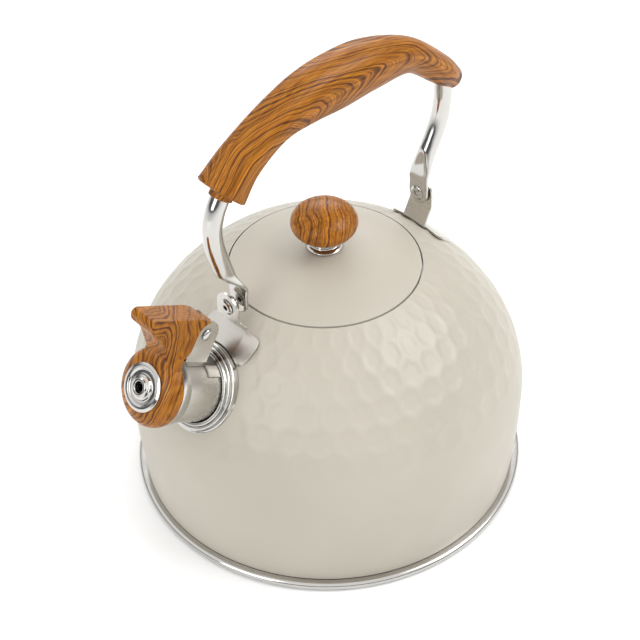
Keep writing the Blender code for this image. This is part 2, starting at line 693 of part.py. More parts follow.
def make_cap_metal():
    """The steel liner that shuts on the spout, and the whistle's bezel, chamber and inner plate."""
    place = spout_place()
    seat = CAP_REAR + LINER_SEAT - GAP
    bore = STEM_RADIUS + GAP
    liner = turned("cap_liner", [
        (LINER_OUTER, seat),
        (LINER_OUTER, LINER_REAR),
        (LINER_INNER, LINER_REAR),
        (LINER_INNER, seat - LINER_WALL),
        (bore, seat - LINER_WALL),
        (bore, seat),
    ], MEDIUM, place=place)
    finish(liner, STEEL)

    stem_end = seat - LINER_WALL - GAP
    stem_inner = STEM_RADIUS - STEM_WALL
    flange_rear = CAP_FRONT + GAP
    bezel = turned("whistle_bezel", [
        (WHISTLE_HOLE, BOSS_FACE - 0.9 * MM),
        (WHISTLE_HOLE + 0.8 * MM, BOSS_FACE),
        (0.5 * STEM_RADIUS, BOSS_FACE),
        (0.8 * STEM_RADIUS, BEZEL_FACE - 0.3 * MM),
        (BEZEL_RADIUS - 2.2 * MM, BEZEL_FACE - 0.1 * MM),
        (BEZEL_RADIUS - 0.9 * MM, BEZEL_FACE),
        (BEZEL_RADIUS, BEZEL_FACE - 0.5 * MM),
        (BEZEL_RADIUS, flange_rear),
        (STEM_RADIUS, flange_rear),
        (STEM_RADIUS, stem_end),
        (stem_inner, stem_end),
        (stem_inner, flange_rear - WHISTLE_SHEET),
        (WHISTLE_HOLE, flange_rear - WHISTLE_SHEET),
    ], SMALL, place=place)
    finish(bezel, STEEL)

    chamber_top = stem_end - GAP
    inside = CHAMBER_RADIUS - WHISTLE_SHEET
    chamber = turned("whistle_chamber", [
        (CHAMBER_RADIUS, chamber_top),
        (CHAMBER_RADIUS, CHAMBER_REAR),
        (WHISTLE_HOLE, CHAMBER_REAR),
        (WHISTLE_HOLE, CHAMBER_REAR + WHISTLE_SHEET),
        (inside, CHAMBER_REAR + WHISTLE_SHEET),
        (inside, chamber_top - WHISTLE_SHEET),
        (stem_inner, chamber_top - WHISTLE_SHEET),
        (stem_inner, chamber_top),
    ], SMALL, place=place)
    finish(chamber, STEEL)

    reed_low = (CHAMBER_REAR + chamber_top) / 2
    reed = turned("whistle_plate", [
        (inside - GAP, reed_low + WHISTLE_SHEET),
        (inside - GAP, reed_low),
        (WHISTLE_HOLE, reed_low),
        (WHISTLE_HOLE, reed_low + WHISTLE_SHEET),
    ], SMALL, place=place)
    finish(reed, STEEL)


def make_hinge_pin():
    reach = EAR_HALF_SPACING + GAP
    head = arc((0.0, 0.0), 1.0, math.pi / 2, 0.0, 5)
    top = [(PIN_HEAD_RADIUS * x, reach + PIN_HEAD_HEIGHT * y) for x, y in head]
    top[0] = (0.0, reach + PIN_HEAD_HEIGHT)
    bottom = [(r, -z) for r, z in reversed(top)]
    profile = top + [(PIN_RADIUS, reach), (PIN_RADIUS, -reach)] + bottom
    pin = turned("cap_hinge_pin", profile, TINY, place=pin_place())
    finish(pin, STEEL)


def make_cap_spring():
    """A torsion spring round the pin: its short leg rests on the moulding, its long one on the bracket."""
    coil = PIN_RADIUS + 2 * GAP + SPRING_WIRE
    half = SPRING_TURNS * SPRING_PITCH / 2
    count = int(SPRING_TURNS * SPRING_SIDES)
    turns = []
    for i in range(count + 1):
        angle = 2 * math.pi * SPRING_TURNS * i / count
        turns.append((coil * math.cos(angle), coil * math.sin(angle), -half + 2 * half * i / count))
    short_end = (turns[0][0], -SPRING_SHORT_LEG, turns[0][2])
    web_top = SPOUT_RADIUS + GAP + SADDLE_THICKNESS
    long_end = (turns[-1][0], web_top + 2 * GAP - PIN_HEIGHT, turns[-1][2])
    place = pin_place()
    world = [tuple(place @ Vector(point)) for point in [short_end] + turns + [long_end]]
    spring = rod("cap_spring", world, SPRING_WIRE, 1)
    finish(spring, STEEL)


# ---------------------------------------------------------------- handle
def handle_line(stations, tongue_x):
    """Stations given outwards from a tongue and up from the rivets, as x, z and half sizes in metres."""
    side = math.copysign(1.0, tongue_x)
    return [[tongue_x + side * out * MM, PIVOT_HEIGHT + up * MM] + [ARM_RADIUS + wall * MM for wall in walls]
            for out, up, *walls in stations]


def arm_path(line, plate_x):
    """Points of an arm from its pivot up: straight through the flat end, then along its line."""
    start = [(plate_x, PIVOT_HEIGHT), (plate_x, (PIVOT_HEIGHT + ARM_PLATE_TOP) / 2)]
    upper = [(plate_x, ARM_PLATE_TOP)] + line[1:]
    return [(x, 0.0, z) for x, z in start[:1] + smooth_path(start[1:] + upper, 4)]


def flatten(obj, path):
    """Press the lower end of an arm flat: thin along X and wide along Y."""
    for vertex in obj.data.vertices:
        x, y, z = vertex.co
        part = min(max((ARM_ROUND_FROM - z) / (ARM_ROUND_FROM - ARM_PLATE_TOP), 0.0), 1.0)
        part = part * part * (3 - 2 * part)
        centre = centre_x(path, z)
        thin = (ARM_PLATE_THICKNESS / 2 / ARM_RADIUS) ** part
        wide = (ARM_PLATE_HALF_WIDTH / ARM_RADIUS) ** part
        vertex.co = (centre + (x - centre) * thin, y * wide, z)


def centre_x(path, z):
    if z <= path[0][2]:
        return path[0][0]
    for low, high in zip(path, path[1:]):
        if low[2] <= z <= high[2]:
            share = (z - low[2]) / (high[2] - low[2])
            return low[0] + (high[0] - low[0]) * share
    return path[-1][0]


def make_arm(name, line, plate_x):
    path = arm_path(line, plate_x)
    arm = rod(name, path, ARM_RADIUS, 4)
    flatten(arm, path)
    across = Matrix.Rotation(math.pi / 2, 4, "Y")
    pivot = Matrix.Translation((plate_x, 0.0, PIVOT_HEIGHT)) @ across
    eye = cylinder(name + "_eye", ARM_PLATE_HALF_WIDTH, ARM_PLATE_THICKNESS, pivot, SMALL)
    boolean(arm, eye, "UNION")
    boolean(arm, cylinder(name + "_hole", RIVET_SHANK + GAP, 20 * MM, pivot, SMALL))
    socket = rod(name + "_socket", path, ARM_RADIUS + GAP, 4, CUTTERS)
    finish(arm, STEEL)
    return socket


def make_grip(front_socket, rear_socket):
    """The moulded grip: an oval section that swells in the palm, with a boss round the front arm."""
    front = handle_line(GRIP_FRONT, FRONT_PIVOT_X)
    rear = handle_line(GRIP_REAR, -REAR_PIVOT_X)
    line = smooth_path(front + rear, 3)
    end = line[-1]
    tail = Vector((end[0] - line[-2][0], end[1] - line[-2][1])).normalized()
    for share in (0.45, 0.75, 0.93, 1.0):
        shrink = math.sqrt(max(1.0 - share ** 2, 0.04))
        centre = Vector(end[:2]) + tail * GRIP_TAIL * share
        line.append([centre.x, centre.y, end[2] * shrink, end[3] * shrink])
    grip = rod("grip", [(x, 0.0, z) for x, z, high, wide in line], [p[2] for p in line], 6)
    for vertex in grip.data.vertices:
        nearest = min(line, key=lambda p: (p[0] - vertex.co.x) ** 2 + (p[1] - vertex.co.z) ** 2)
        vertex.co.y *= nearest[3] / nearest[2]

    (x1, z1), (x2, z2) = handle_line(FRONT_ARM_LINE, FRONT_PIVOT_X)[-2:]
    lean = math.atan2(x2 - x1, z2 - z1)
    place = Matrix.Translation((x1, 0.0, z1)) @ Matrix.Rotation(lean, 4, "Y")
    place = place @ Matrix.Translation((0.0, 0.0, GRIP_BOSS_START + GRIP_BOSS_LENGTH / 2))
    boss = cylinder("grip_boss", GRIP_BOSS_RADIUS, GRIP_BOSS_LENGTH, place)
    boolean(grip, boss, "UNION")
    boolean(grip, front_socket)
    boolean(grip, rear_socket)
    finish(grip, WOOD_FILM)


def make_handle():
    front_x = FRONT_PIVOT_X - GAP - ARM_PLATE_THICKNESS / 2
    rear_x = -REAR_PIVOT_X + GAP + ARM_PLATE_THICKNESS / 2
    front_socket = make_arm("front_arm", handle_line(FRONT_ARM_LINE, FRONT_PIVOT_X), front_x)
    rear_socket = make_arm("rear_arm", handle_line(REAR_ARM_LINE, -REAR_PIVOT_X), rear_x)
    make_grip(front_socket, rear_socket)


def make_rivet(name, inner_x, outer_x):
    """A tubular rivet along X through an arm and its bracket, with a rolled head at each end."""
    low = min(inner_x, outer_x) - GAP
    high = max(inner_x, outer_x) + GAP
    middle = (low + high) / 2
    half = (high - low) / 2
    head = [
        (RIVET_BORE, half + RIVET_HEAD_HEIGHT * 0.45),
        (RIVET_BORE + 0.7 * MM, half + RIVET_HEAD_HEIGHT),
        (RIVET_HEAD - 1.1 * MM, half + RIVET_HEAD_HEIGHT),
        (RIVET_HEAD, half + RIVET_HEAD_HEIGHT * 0.35),
        (RIVET_HEAD, half),
        (RIVET_SHANK, half),
    ]
    profile = head + [(r, -z) for r, z in reversed(head)]
    across = Matrix.Rotation(math.pi / 2, 4, "Y")
    rivet = turned(name, profile, SMALL, place=Matrix.Translation((middle, 0.0, PIVOT_HEIGHT)) @ across)
    finish(rivet, STEEL)


def make_bracket(name, tongue_x, out):
    """One sheet bent three ways: a foot welded to the dome, a leaning neck and an upright tongue.

    out is +1 for the front bracket and -1 for the rear one; the foot runs outwards from the neck.
    """
    upright = Matrix((Vector((0, 1, 0)), Vector((0, 0, 1)), Vector((1, 0, 0)))).transposed().to_4x4()
    middle = tongue_x + BRACKET_SHEET / 2
    fold = PIVOT_HEIGHT - FOLD_DROP
    head = arc((0.0, PIVOT_HEIGHT), NECK_HALF_WIDTH, 0.0, math.pi, 12)
    tongue_outline = head + [(-NECK_HALF_WIDTH, fold - GAP), (NECK_HALF_WIDTH, fold - GAP)]
    tongue = plate(name + "_tongue", tongue_outline, BRACKET_SHEET,
                   Matrix.Translation((out * middle, 0.0, 0.0)) @ upright, CUTTERS)

    root_x = middle - NECK_SETBACK
    root_z = dome_height(root_x, GAP + BRACKET_SHEET / 2)
    reach = math.hypot(NECK_SETBACK, fold - root_z)
    lean = math.atan2(NECK_SETBACK, fold - root_z)
    neck_root = Matrix.Translation((out * root_x, 0.0, root_z))
    neck_place = neck_root @ Matrix.Rotation(out * lean, 4, "Y") @ upright
    half = NECK_HALF_WIDTH
    neck_outline = [(-half, 0.0), (half, 0.0), (half, reach), (-half, reach)]
    neck = plate(name + "_neck", neck_outline, BRACKET_SHEET, neck_place, CUTTERS)

    near = root_x - BRACKET_SHEET / 2
    foot_outline = rounded([
        (out * near, -half, 0.0),
        (out * (near + FOOT_RELIEF), -half - 1.0 * MM, 0.5 * MM),
        (out * (near + FOOT_RELIEF), -FOOT_HALF_WIDTH, 3.0 * MM),
        (out * (near + FOOT_LENGTH), -FOOT_HALF_WIDTH, 6.0 * MM),
        (out * (near + FOOT_LENGTH), FOOT_HALF_WIDTH, 6.0 * MM),
        (out * (near + FOOT_RELIEF), FOOT_HALF_WIDTH, 3.0 * MM),
        (out * (near + FOOT_RELIEF), half + 1.0 * MM, 0.5 * MM),
        (out * near, half, 0.0),
    ], 4)
    bracket = plate(name, foot_outline, 60 * MM, Matrix.Translation((0.0, 0.0, CROWN_TOP - 20 * MM)))
    boolean(bracket, dome_cutter(name + "_top", GAP + BRACKET_SHEET), "INTERSECT")
    boolean(bracket, dome_cutter(name + "_under", GAP))
    boolean(bracket, neck, "UNION")
    boolean(bracket, tongue, "UNION")
    across = Matrix.Rotation(math.pi / 2, 4, "Y")
    hole = Matrix.Translation((out * tongue_x, 0.0, PIVOT_HEIGHT)) @ across
    boolean(bracket, cylinder(name + "_hole", RIVET_SHANK + GAP, 10 * MM, hole, SMALL))
    return bracket


def make_brackets():
    front = make_bracket("front_bracket", FRONT_PIVOT_X, 1.0)
    collar = cylinder("collar_clearance", COLLAR_RADIUS + 2 * GAP, 60 * MM, spout_place(), MEDIUM)
    boolean(front, collar)
    finish(front, STEEL)
    finish(make_bracket("rear_bracket", REAR_PIVOT_X, -1.0), STEEL)
    plate_depth = GAP + ARM_PLATE_THICKNESS
    make_rivet("front_rivet", FRONT_PIVOT_X - plate_depth, FRONT_PIVOT_X + BRACKET_SHEET)
    make_rivet("rear_rivet", -REAR_PIVOT_X + plate_depth, -REAR_PIVOT_X - BRACKET_SHEET)


# ---------------------------------------------------------------- lid
def make_lid():
    screw_hole = SCREW_RADIUS + GAP
    edge_angle = math.acos(LID_RADIUS / CROWN_RADIUS)
    hole_angle = math.acos(screw_hole / CROWN_RADIUS)
    top = arc((0.0, CROWN_CENTRE), CROWN_RADIUS, hole_angle, edge_angle, 6)
    rim_z = dome_height(MOUTH_RADIUS) - LEDGE_DROP + GAP
    inner_radius = LID_RADIUS - WALL
    start = math.acos(inner_radius / (CROWN_RADIUS - WALL))
    end = math.acos(screw_hole / (CROWN_RADIUS - WALL))
    under = arc((0.0, CROWN_CENTRE), CROWN_RADIUS - WALL, start, end, 6)
    lid = turned("lid_shell", top + [(LID_RADIUS, rim_z), (inner_radius, rim_z)] + under, FINE)
    finish(lid, ENAMEL)

    seat = MOUTH_RADIUS - LEDGE_WIDTH - WALL - LID_COLLAR_CLEARANCE
    flange_z = dome_height(seat, -WALL - GAP)
    collar = turned("lid_collar", [
        (seat, flange_z),
        (seat, rim_z - LID_COLLAR_DEPTH),
        (seat - WALL, rim_z - LID_COLLAR_DEPTH),
        (seat - WALL, dome_height(seat - WALL, -WALL - GAP)),
    ], FINE)
    finish(collar, STEEL)

    seat_z = CROWN_TOP + GAP
    knob_low = seat_z + FERRULE_HEIGHT
    ferrule = turned("knob_ferrule", [
        (FERRULE_RADIUS - 1.4 * MM, knob_low),
        (FERRULE_RADIUS - 2.2 * MM, seat_z + 1.8 * MM),
        (FERRULE_RADIUS - 0.8 * MM, seat_z + 1.4 * MM),
        (FERRULE_RADIUS, seat_z + 0.6 * MM),
        (FERRULE_RADIUS, seat_z),
        (screw_hole, seat_z),
        (screw_hole, knob_low),
    ], MEDIUM)
    finish(ferrule, STEEL)

    base = knob_low + GAP
    half_height = KNOB_HEIGHT / 2
    centre = base + half_height
    flat_angle = math.acos(KNOB_FLAT / KNOB_RADIUS)
    ball = [(KNOB_RADIUS * x, centre + half_height * y)
            for x, y in arc((0.0, 0.0), 1.0, math.pi / 2, -flat_angle, 11)]
    ball[0] = (0.0, ball[0][1])
    knob = turned("knob", ball + [
        (KNOB_FLAT, base),
        (screw_hole, base),
        (screw_hole, base + KNOB_SOCKET),
        (0.0, base + KNOB_SOCKET),
    ], MEDIUM)
    finish(knob, WOOD_FILM)

    head_top = CROWN_TOP - WALL - 2 * GAP
    screw_end = base + KNOB_SOCKET - 1.0 * MM
    screw = turned("knob_screw", [
        (0.0, screw_end),
        (SCREW_RADIUS, screw_end),
        (SCREW_RADIUS, head_top),
        (SCREW_HEAD_RADIUS, head_top),
        (SCREW_HEAD_RADIUS, head_top - SCREW_HEAD_HEIGHT / 2),
        (SCREW_HEAD_RADIUS / 2, head_top - SCREW_HEAD_HEIGHT),
        (0.0, head_top - SCREW_HEAD_HEIGHT),
    ], SMALL)
    finish(screw, STEEL)


# ---------------------------------------------------------------- moving pieces
MOVING = {
    "handle_swing": ["front_arm", "rear_arm", "grip"],
    "lid_lift": ["lid_shell", "lid_collar", "knob_ferrule", "knob", "knob_screw"],
    "cap_hinge": ["cap_moulding", "cap_liner", "whistle_bezel", "whistle_chamber", "whistle_plate"],
}


def hang_moving_pieces():
    """Parent each moving group to an empty on the axis that it moves about or along."""
    bpy.context.view_layer.update()
    places = {
        "handle_swing": Matrix.Translation((0.0, 0.0, PIVOT_HEIGHT)),
        "lid_lift": Matrix.Translation((0.0, 0.0, CROWN_TOP)),
        "cap_hinge": pin_place(),
    }
    for joint, names in MOVING.items():
        axis = link(joint, None, PIECES, places[joint])
        for name in names:
            piece = bpy.data.objects[name]
            piece.parent = axis
            piece.matrix_parent_inverse = places[joint].inverted()


# ---------------------------------------------------------------- build
clear_scene()
collection(PIECES)
collection(CUTTERS)
make_body_shell()
make_base()
make_spout()
make_spout_bracket()
make_cap_moulding()
make_cap_metal()
make_hinge_pin()
make_cap_spring()
make_handle()
make_brackets()
make_lid()
hang_moving_pieces()
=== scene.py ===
# %% [markdown]
# # A stovetop whistling kettle
#
# This lesson dresses a finished CAD model. The CAD already holds every piece at its real size and
# place, so nothing here is fitted by eye. Each step below takes one piece, says what it is on the
# real kettle and how it is made there, and builds a finer skin for it in the same place.

# %% Load the CAD as a fixed frame
import math

import bmesh
import bpy
import numpy as np
from mathutils import Matrix, Vector


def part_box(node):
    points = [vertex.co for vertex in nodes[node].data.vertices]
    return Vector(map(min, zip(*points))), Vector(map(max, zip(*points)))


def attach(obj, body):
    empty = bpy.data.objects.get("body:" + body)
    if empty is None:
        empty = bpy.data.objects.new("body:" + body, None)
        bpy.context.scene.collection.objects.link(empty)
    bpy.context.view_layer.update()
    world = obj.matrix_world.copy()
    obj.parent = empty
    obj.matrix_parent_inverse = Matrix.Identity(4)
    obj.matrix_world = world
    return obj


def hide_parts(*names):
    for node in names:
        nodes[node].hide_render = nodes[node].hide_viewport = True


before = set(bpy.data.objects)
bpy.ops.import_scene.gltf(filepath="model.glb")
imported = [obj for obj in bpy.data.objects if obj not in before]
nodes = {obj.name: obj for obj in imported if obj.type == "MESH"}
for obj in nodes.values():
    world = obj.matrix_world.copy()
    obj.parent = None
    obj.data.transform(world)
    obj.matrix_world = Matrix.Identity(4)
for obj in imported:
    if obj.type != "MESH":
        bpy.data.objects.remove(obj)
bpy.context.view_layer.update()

# %% [markdown]
# ## Sizes
#
# The kettle is 220 mm across its base rim. The pot and the lid share one dome, which turns into a
# tighter shoulder and then a nearly upright side. The spout is a short tube on a tilted axis, so
# every piece on the spout is described in a frame whose Z runs along that axis.

# %% Sizes, in metres
MM = 0.001
GAP = 0.3 * MM
CROWN_TOP = 149.5 * MM
CROWN_RADIUS = 115.0 * MM
CROWN_CENTRE = CROWN_TOP - CROWN_RADIUS
SHOULDER_RADIUS = 73.4 * MM
BODY_RADIUS = 108.5 * MM
FOOT_RADIUS = 105.5 * MM
FOOT_HEIGHT = 5.4 * MM
WALL = 1.0 * MM
MOUTH_RADIUS = 51.8 * MM
LID_RADIUS = 51.0 * MM
LEDGE_DROP = 3.0 * MM
LEDGE_WIDTH = 5.0 * MM
NECK_DEPTH = 7.0 * MM

SPOUT_ROOT = Vector((87.2 * MM, 0.0, 105.0 * MM))
SPOUT_TILT = math.radians(33.0)
SPOUT_RADIUS = 18.2 * MM
SPOUT_MOUTH = 31.5 * MM
COLLAR_RADIUS = 24.3 * MM
COLLAR_HEIGHT = 5.6 * MM
PIN_ALONG = 20.6 * MM
PIN_HEIGHT = 33.6 * MM
EAR_HALF_WIDTH = 7.6 * MM
EAR_START = PIN_ALONG - EAR_HALF_WIDTH
EAR_END = PIN_ALONG + EAR_HALF_WIDTH
EAR_NOTCH = 0.6 * MM
TONGUE_HALF = 5.1 * MM
CAP_RADIUS = 20.5 * MM
CAP_REAR = 34.4 * MM
CAP_EDGE = 35.5 * MM
CAP_FRONT = 43.0 * MM
CAP_FLAT = 9.5 * MM
LINER_RADIUS = 19.6 * MM
LINER_WALL = 0.7 * MM
LINER_REAR = 28.5 * MM
LINER_SEAT = 36.3 * MM
BEZEL_RADIUS = 12.6 * MM
BEZEL_FACE = 44.3 * MM
BOSS_FACE = 46.2 * MM
STEM_RADIUS = 8.0 * MM
WHISTLE_HOLE = 2.7 * MM
LEVER_HALF = 8.6 * MM
LEVER_TIP = 62.8 * MM
LEVER_TOP = 42.5 * MM
LEVER_REAR = 22.0 * MM

PIVOT_HEIGHT = 147.0 * MM
ARM_RADIUS = 5.0 * MM
ARM_PLATE_HALF = 6.6 * MM
ARM_PLATE_THICKNESS = 2.4 * MM
ARM_FLAT_TO = 158.0 * MM
ARM_ROUND_FROM = 172.0 * MM

FINE = 160
MEDIUM = 96
SMALL = 64

along_spout = Vector((math.cos(SPOUT_TILT), 0.0, math.sin(SPOUT_TILT)))
above_spout = Vector((-math.sin(SPOUT_TILT), 0.0, math.cos(SPOUT_TILT)))
low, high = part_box("base_pan")
print("base rim is %.1f mm across" % ((high.x - low.x) / MM))
low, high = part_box("cap_moulding")
print("whistle cap reaches x = %.1f mm" % (high.x / MM))


# %% [markdown]
# ## Building blocks
#
# Most pieces of a kettle are turned, spun or drawn from sheet, so one function that turns an
# outline about an axis makes most of them. Corners of an outline get small arcs first, because a
# real edge always catches a thin line of light.

# %% Helpers for outlines and meshes
def arc(centre, radius, start, end, steps):
    """Points of an arc in a plane, angles from the first axis."""
    out = []
    for i in range(steps + 1):
        a = start + (end - start) * i / steps
        out.append((centre[0] + radius * math.cos(a), centre[1] + radius * math.sin(a)))
    return out


def soften(points, steps=5, closed=True):
    """Replace each corner (x, y, radius) of an outline by an arc of that radius."""
    out = []
    count = len(points)
    for i, point in enumerate(points):
        x, y, radius = point if len(point) == 3 else (point[0], point[1], 0.0)
        if radius <= 0.0 or (not closed and i in (0, count - 1)):
            out.append((x, y))
            continue
        here = Vector((x, y))
        before = Vector(points[i - 1][:2]) - here
        after = Vector(points[(i + 1) % count][:2]) - here
        angle = before.angle(after)
        reach = radius / math.tan(angle / 2)
        reach = min(reach, 0.49 * before.length, 0.49 * after.length)
        a = here + before.normalized() * reach
        b = here + after.normalized() * reach
        for k in range(steps + 1):
            t = k / steps
            point = (1 - t) ** 2 * a + 2 * t * (1 - t) * here + t ** 2 * b
            out.append((point.x, point.y))
    return out


def finish_mesh(mesh, angle=32.0):
    """Weld, point the normals outwards and shade smooth up to a sharp angle."""
    soup = bmesh.new()
    soup.from_mesh(mesh)
    bmesh.ops.remove_doubles(soup, verts=soup.verts, dist=0.000002)
    bmesh.ops.recalc_face_normals(soup, faces=soup.faces)
    soup.to_mesh(mesh)
    soup.free()
    mesh.shade_smooth()
    mesh.set_sharp_from_angle(angle=math.radians(angle))
    return mesh


def add_object(name, mesh):
    obj = bpy.data.objects.new(name, mesh)
    bpy.context.scene.collection.objects.link(obj)
    return obj


def lathe(name, profile, steps, place=Matrix.Identity(4), angle=32.0, values=None):
    """Turn an outline of (radius, height) points about Z, closing it unless both ends are on the axis."""
    axis_ends = profile[0][0] < 1e-7 and profile[-1][0] < 1e-7
    verts, rings, extra = [], [], []
    for k, (r, z) in enumerate(profile):
        ring = []
        for i in range(1 if r < 1e-7 else steps):
            a = 2 * math.pi * i / steps
            ring.append(len(verts))
            verts.append(place @ Vector((r * math.cos(a), r * math.sin(a), z)))
            extra.append(values[k] if values else (0.0, 0.0))
        rings.append(ring)
    faces = []
    pairs = list(zip(rings, rings[1:]))
    if not axis_ends:
        pairs.append((rings[-1], rings[0]))
    for a, b in pairs:
        for i in range(steps):
            j = (i + 1) % steps
            if len(a) == 1 and len(b) == 1:
                continue
            if len(a) == 1:
                faces.append((a[0], b[j], b[i]))
            elif len(b) == 1:
                faces.append((a[i], a[j], b[0]))
            else:
                faces.append((a[i], a[j], b[j], b[i]))
    mesh = bpy.data.meshes.new(name)
    mesh.from_pydata([tuple(v) for v in verts], [], faces)
    if values:
        for slot, key in enumerate(("along", "outside")):
            layer = mesh.attributes.new(key, "FLOAT", "POINT")
            layer.data.foreach_set("value", [e[slot] for e in extra])
    finish_mesh(mesh, angle)
    return add_object(name, mesh)


def extrude(name, outline, half, place, bevel=0.0, segments=5):
    """A flat outline as a solid, with rounded long edges."""
    soup = bmesh.new()
    bottom = [soup.verts.new((x, y, -half)) for x, y in outline]
    top = [soup.verts.new((x, y, half)) for x, y in outline]
    soup.faces.new(list(reversed(bottom)))
    soup.faces.new(top)
    count = len(outline)
    for i in range(count):
        j = (i + 1) % count
        soup.faces.new((bottom[i], bottom[j], top[j], top[i]))
    mesh = bpy.data.meshes.new(name)
    if bevel > 0.0:
        rims = [e for e in soup.edges if abs(e.verts[0].co.z - e.verts[1].co.z) < 1e-9]
        bmesh.ops.bevel(soup, geom=rims, offset=bevel, segments=segments, profile=0.5, affect="EDGES")
    bmesh.ops.recalc_face_normals(soup, faces=soup.faces)
    soup.to_mesh(mesh)
    soup.free()
    mesh.transform(place)
    return add_object(name, mesh)


def bake(obj, name):
    """Swap an object for the plain mesh its modifiers make."""
    bpy.context.view_layer.update()
    graph = bpy.context.evaluated_depsgraph_get()
    mesh = bpy.data.meshes.new_from_object(obj.evaluated_get(graph))
    mesh.name = name
    bpy.data.objects.remove(obj, do_unlink=True)
    return add_object(name, mesh)


def cut(obj, other, operation="DIFFERENCE"):
    """Apply one Boolean and drop the tool."""
    name = obj.name
    step = obj.modifiers.new("cut", "BOOLEAN")
    step.operation = operation
    step.solver = "EXACT"
    step.object = other
    step.material_mode = "TRANSFER"
    other.hide_render = True
    made = bake(obj, name + "_cut")
    bpy.data.objects.remove(other, do_unlink=True)
    made.name = name
    return made


def cad_copy(node, width=0.0, segments=2, angle=35.0):
    """A welded copy of a CAD node with softly rounded edges."""
    mesh = nodes[node].data.copy()
    mesh.materials.clear()
    soup = bmesh.new()
    soup.from_mesh(mesh)
    bmesh.ops.remove_doubles(soup, verts=soup.verts, dist=0.00001)
    bmesh.ops.dissolve_limit(soup, angle_limit=math.radians(1.0), verts=soup.verts, edges=soup.edges)
    soup.to_mesh(mesh)
    soup.free()
    obj = add_object(node + "_look", mesh)
    if width > 0.0:
        step = obj.modifiers.new("round", "BEVEL")
        step.width = width
        step.segments = segments
        step.limit_method = "ANGLE"
        step.angle_limit = math.radians(angle)
        step.harden_normals = False
        obj = bake(obj, node + "_look")
    finish_mesh(obj.data, 40.0)
    return obj


def spline(points, per_span):
    """Catmull-Rom through rows of numbers."""
    rows = [np.array(p, float) for p in points]
    rows = [2 * rows[0] - rows[1]] + rows + [2 * rows[-1] - rows[-2]]
    out = []
    for a, b, c, d in zip(rows, rows[1:], rows[2:], rows[3:]):
        for k in range(per_span):
            t = k / per_span
            out.append(0.5 * (2 * b + (c - a) * t + (2 * a - 5 * b + 4 * c - d) * t * t
                              + (3 * b - a - 3 * c + d) * t ** 3))
    out.append(rows[-2])
    return np.array(out)


def loft(name, rings, angle=40.0):
    """Skin a list of rings with equal counts, each end closed by a fan to its middle."""
    count = len(rings[0])
    verts = [tuple(p) for ring in rings for p in ring]
    faces = []
    for k in range(len(rings) - 1):
        for i in range(count):
            j = (i + 1) % count
            faces.append((k * count + i, k * count + j, (k + 1) * count + j, (k + 1) * count + i))
    for k, ring in ((0, rings[0]), (len(rings) - 1, rings[-1])):
        middle = len(verts)
        verts.append(tuple(np.mean(np.array(ring), axis=0)))
        for i in range(count):
            faces.append((k * count + i, k * count + (i + 1) % count, middle))
    mesh = bpy.data.meshes.new(name)
    mesh.from_pydata(verts, [], faces)
    finish_mesh(mesh, angle)
    return add_object(name, mesh)


def spout_place(along=0.0):
    """A frame on the spout axis: own Z out along it, own Y across the kettle."""
    turn = Matrix.Rotation(math.pi / 2 - SPOUT_TILT, 4, "Y")
    return Matrix.Translation(SPOUT_ROOT + along_spout * along) @ turn


def side_place(across=0.0):
    """A frame for side outlines: own X along the spout, own Y above its axis."""
    turn = Matrix((along_spout, above_spout, along_spout.cross(above_spout))).transposed().to_4x4()
    return Matrix.Translation(SPOUT_ROOT) @ turn @ Matrix.Translation((0.0, 0.0, across))


def store_grain(obj, vectors):
    """Keep one vector per vertex for the wood figure to read."""
    layer = obj.data.attributes.new("grain", "FLOAT_VECTOR", "POINT")
    layer.data.foreach_set("vector", np.array(vectors, float).ravel())


def dress(obj, material, body, slot, *replaced):
    """Give a piece its material and hang it on its CAD body in place of the CAD nodes."""
    if material is not None:
        obj.data.materials.clear()
        obj.data.materials.append(material)
    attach(obj, body)
    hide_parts(*replaced)
    faces = len(obj.data.polygons)
    print("%-18s %6d faces, stands for %s" % (obj.name, faces, ", ".join(replaced)))
    return obj


# %% [markdown]
# ## Materials
#
# Each finish is a small node tree. A helper keeps the trees short: it makes a maths node, fills in
# plain numbers and links the rest.

# %% A small helper for node trees
class Tree:
    """Thin wrapper that adds nodes to a tree and links their inputs."""

    def __init__(self, tree):
        self.tree = tree

    def add(self, kind, settings=None, **inputs):
        made = self.tree.nodes.new(kind)
        for key, value in (settings or {}).items():
            setattr(made, key, value)
        for key, value in inputs.items():
            self.feed(made, key.replace("_", " "), value)
        return made

    def feed(self, made, key, value):
        socket = made.inputs[key] if isinstance(key, str) and key in made.inputs else made.inputs[int(key)]
        if isinstance(value, bpy.types.NodeSocket):
            self.tree.links.new(value, socket)
        else:
            socket.default_value = value

    def maths(self, operation, *values):
        made = self.tree.nodes.new("ShaderNodeMath")
        made.operation = operation
        for slot, value in enumerate(values):
            self.feed(made, slot, value)
        return made.outputs[0]

    def ramp(self, fac, stops):
        """Colour ramp with (position, colour) stops."""
        made = self.tree.nodes.new("ShaderNodeValToRGB")
        ramp = made.color_ramp
        while len(ramp.elements) < len(stops):
            ramp.elements.new(0.5)
        for element, (position, colour) in zip(ramp.elements, stops):
            element.position = position
            element.color = colour
        self.tree.links.new(fac, made.inputs["Fac"])
        return made.outputs["Color"]

    def span(self, value, low, high, to_low, to_high):
        """Map a value between two ranges, clamped."""
        made = self.tree.nodes.new("ShaderNodeMapRange")
        self.tree.links.new(value, made.inputs["Value"])
        for key, number in (("From Min", low), ("From Max", high), ("To Min", to_low), ("To Max", to_high)):
            made.inputs[key].default_value = number
        return made.outputs["Result"]


def new_material(name):
    material = bpy.data.materials.new(name)
    material.use_nodes = True
    shader = material.node_tree.nodes["Principled BSDF"]
    return material, Tree(material.node_tree), shader


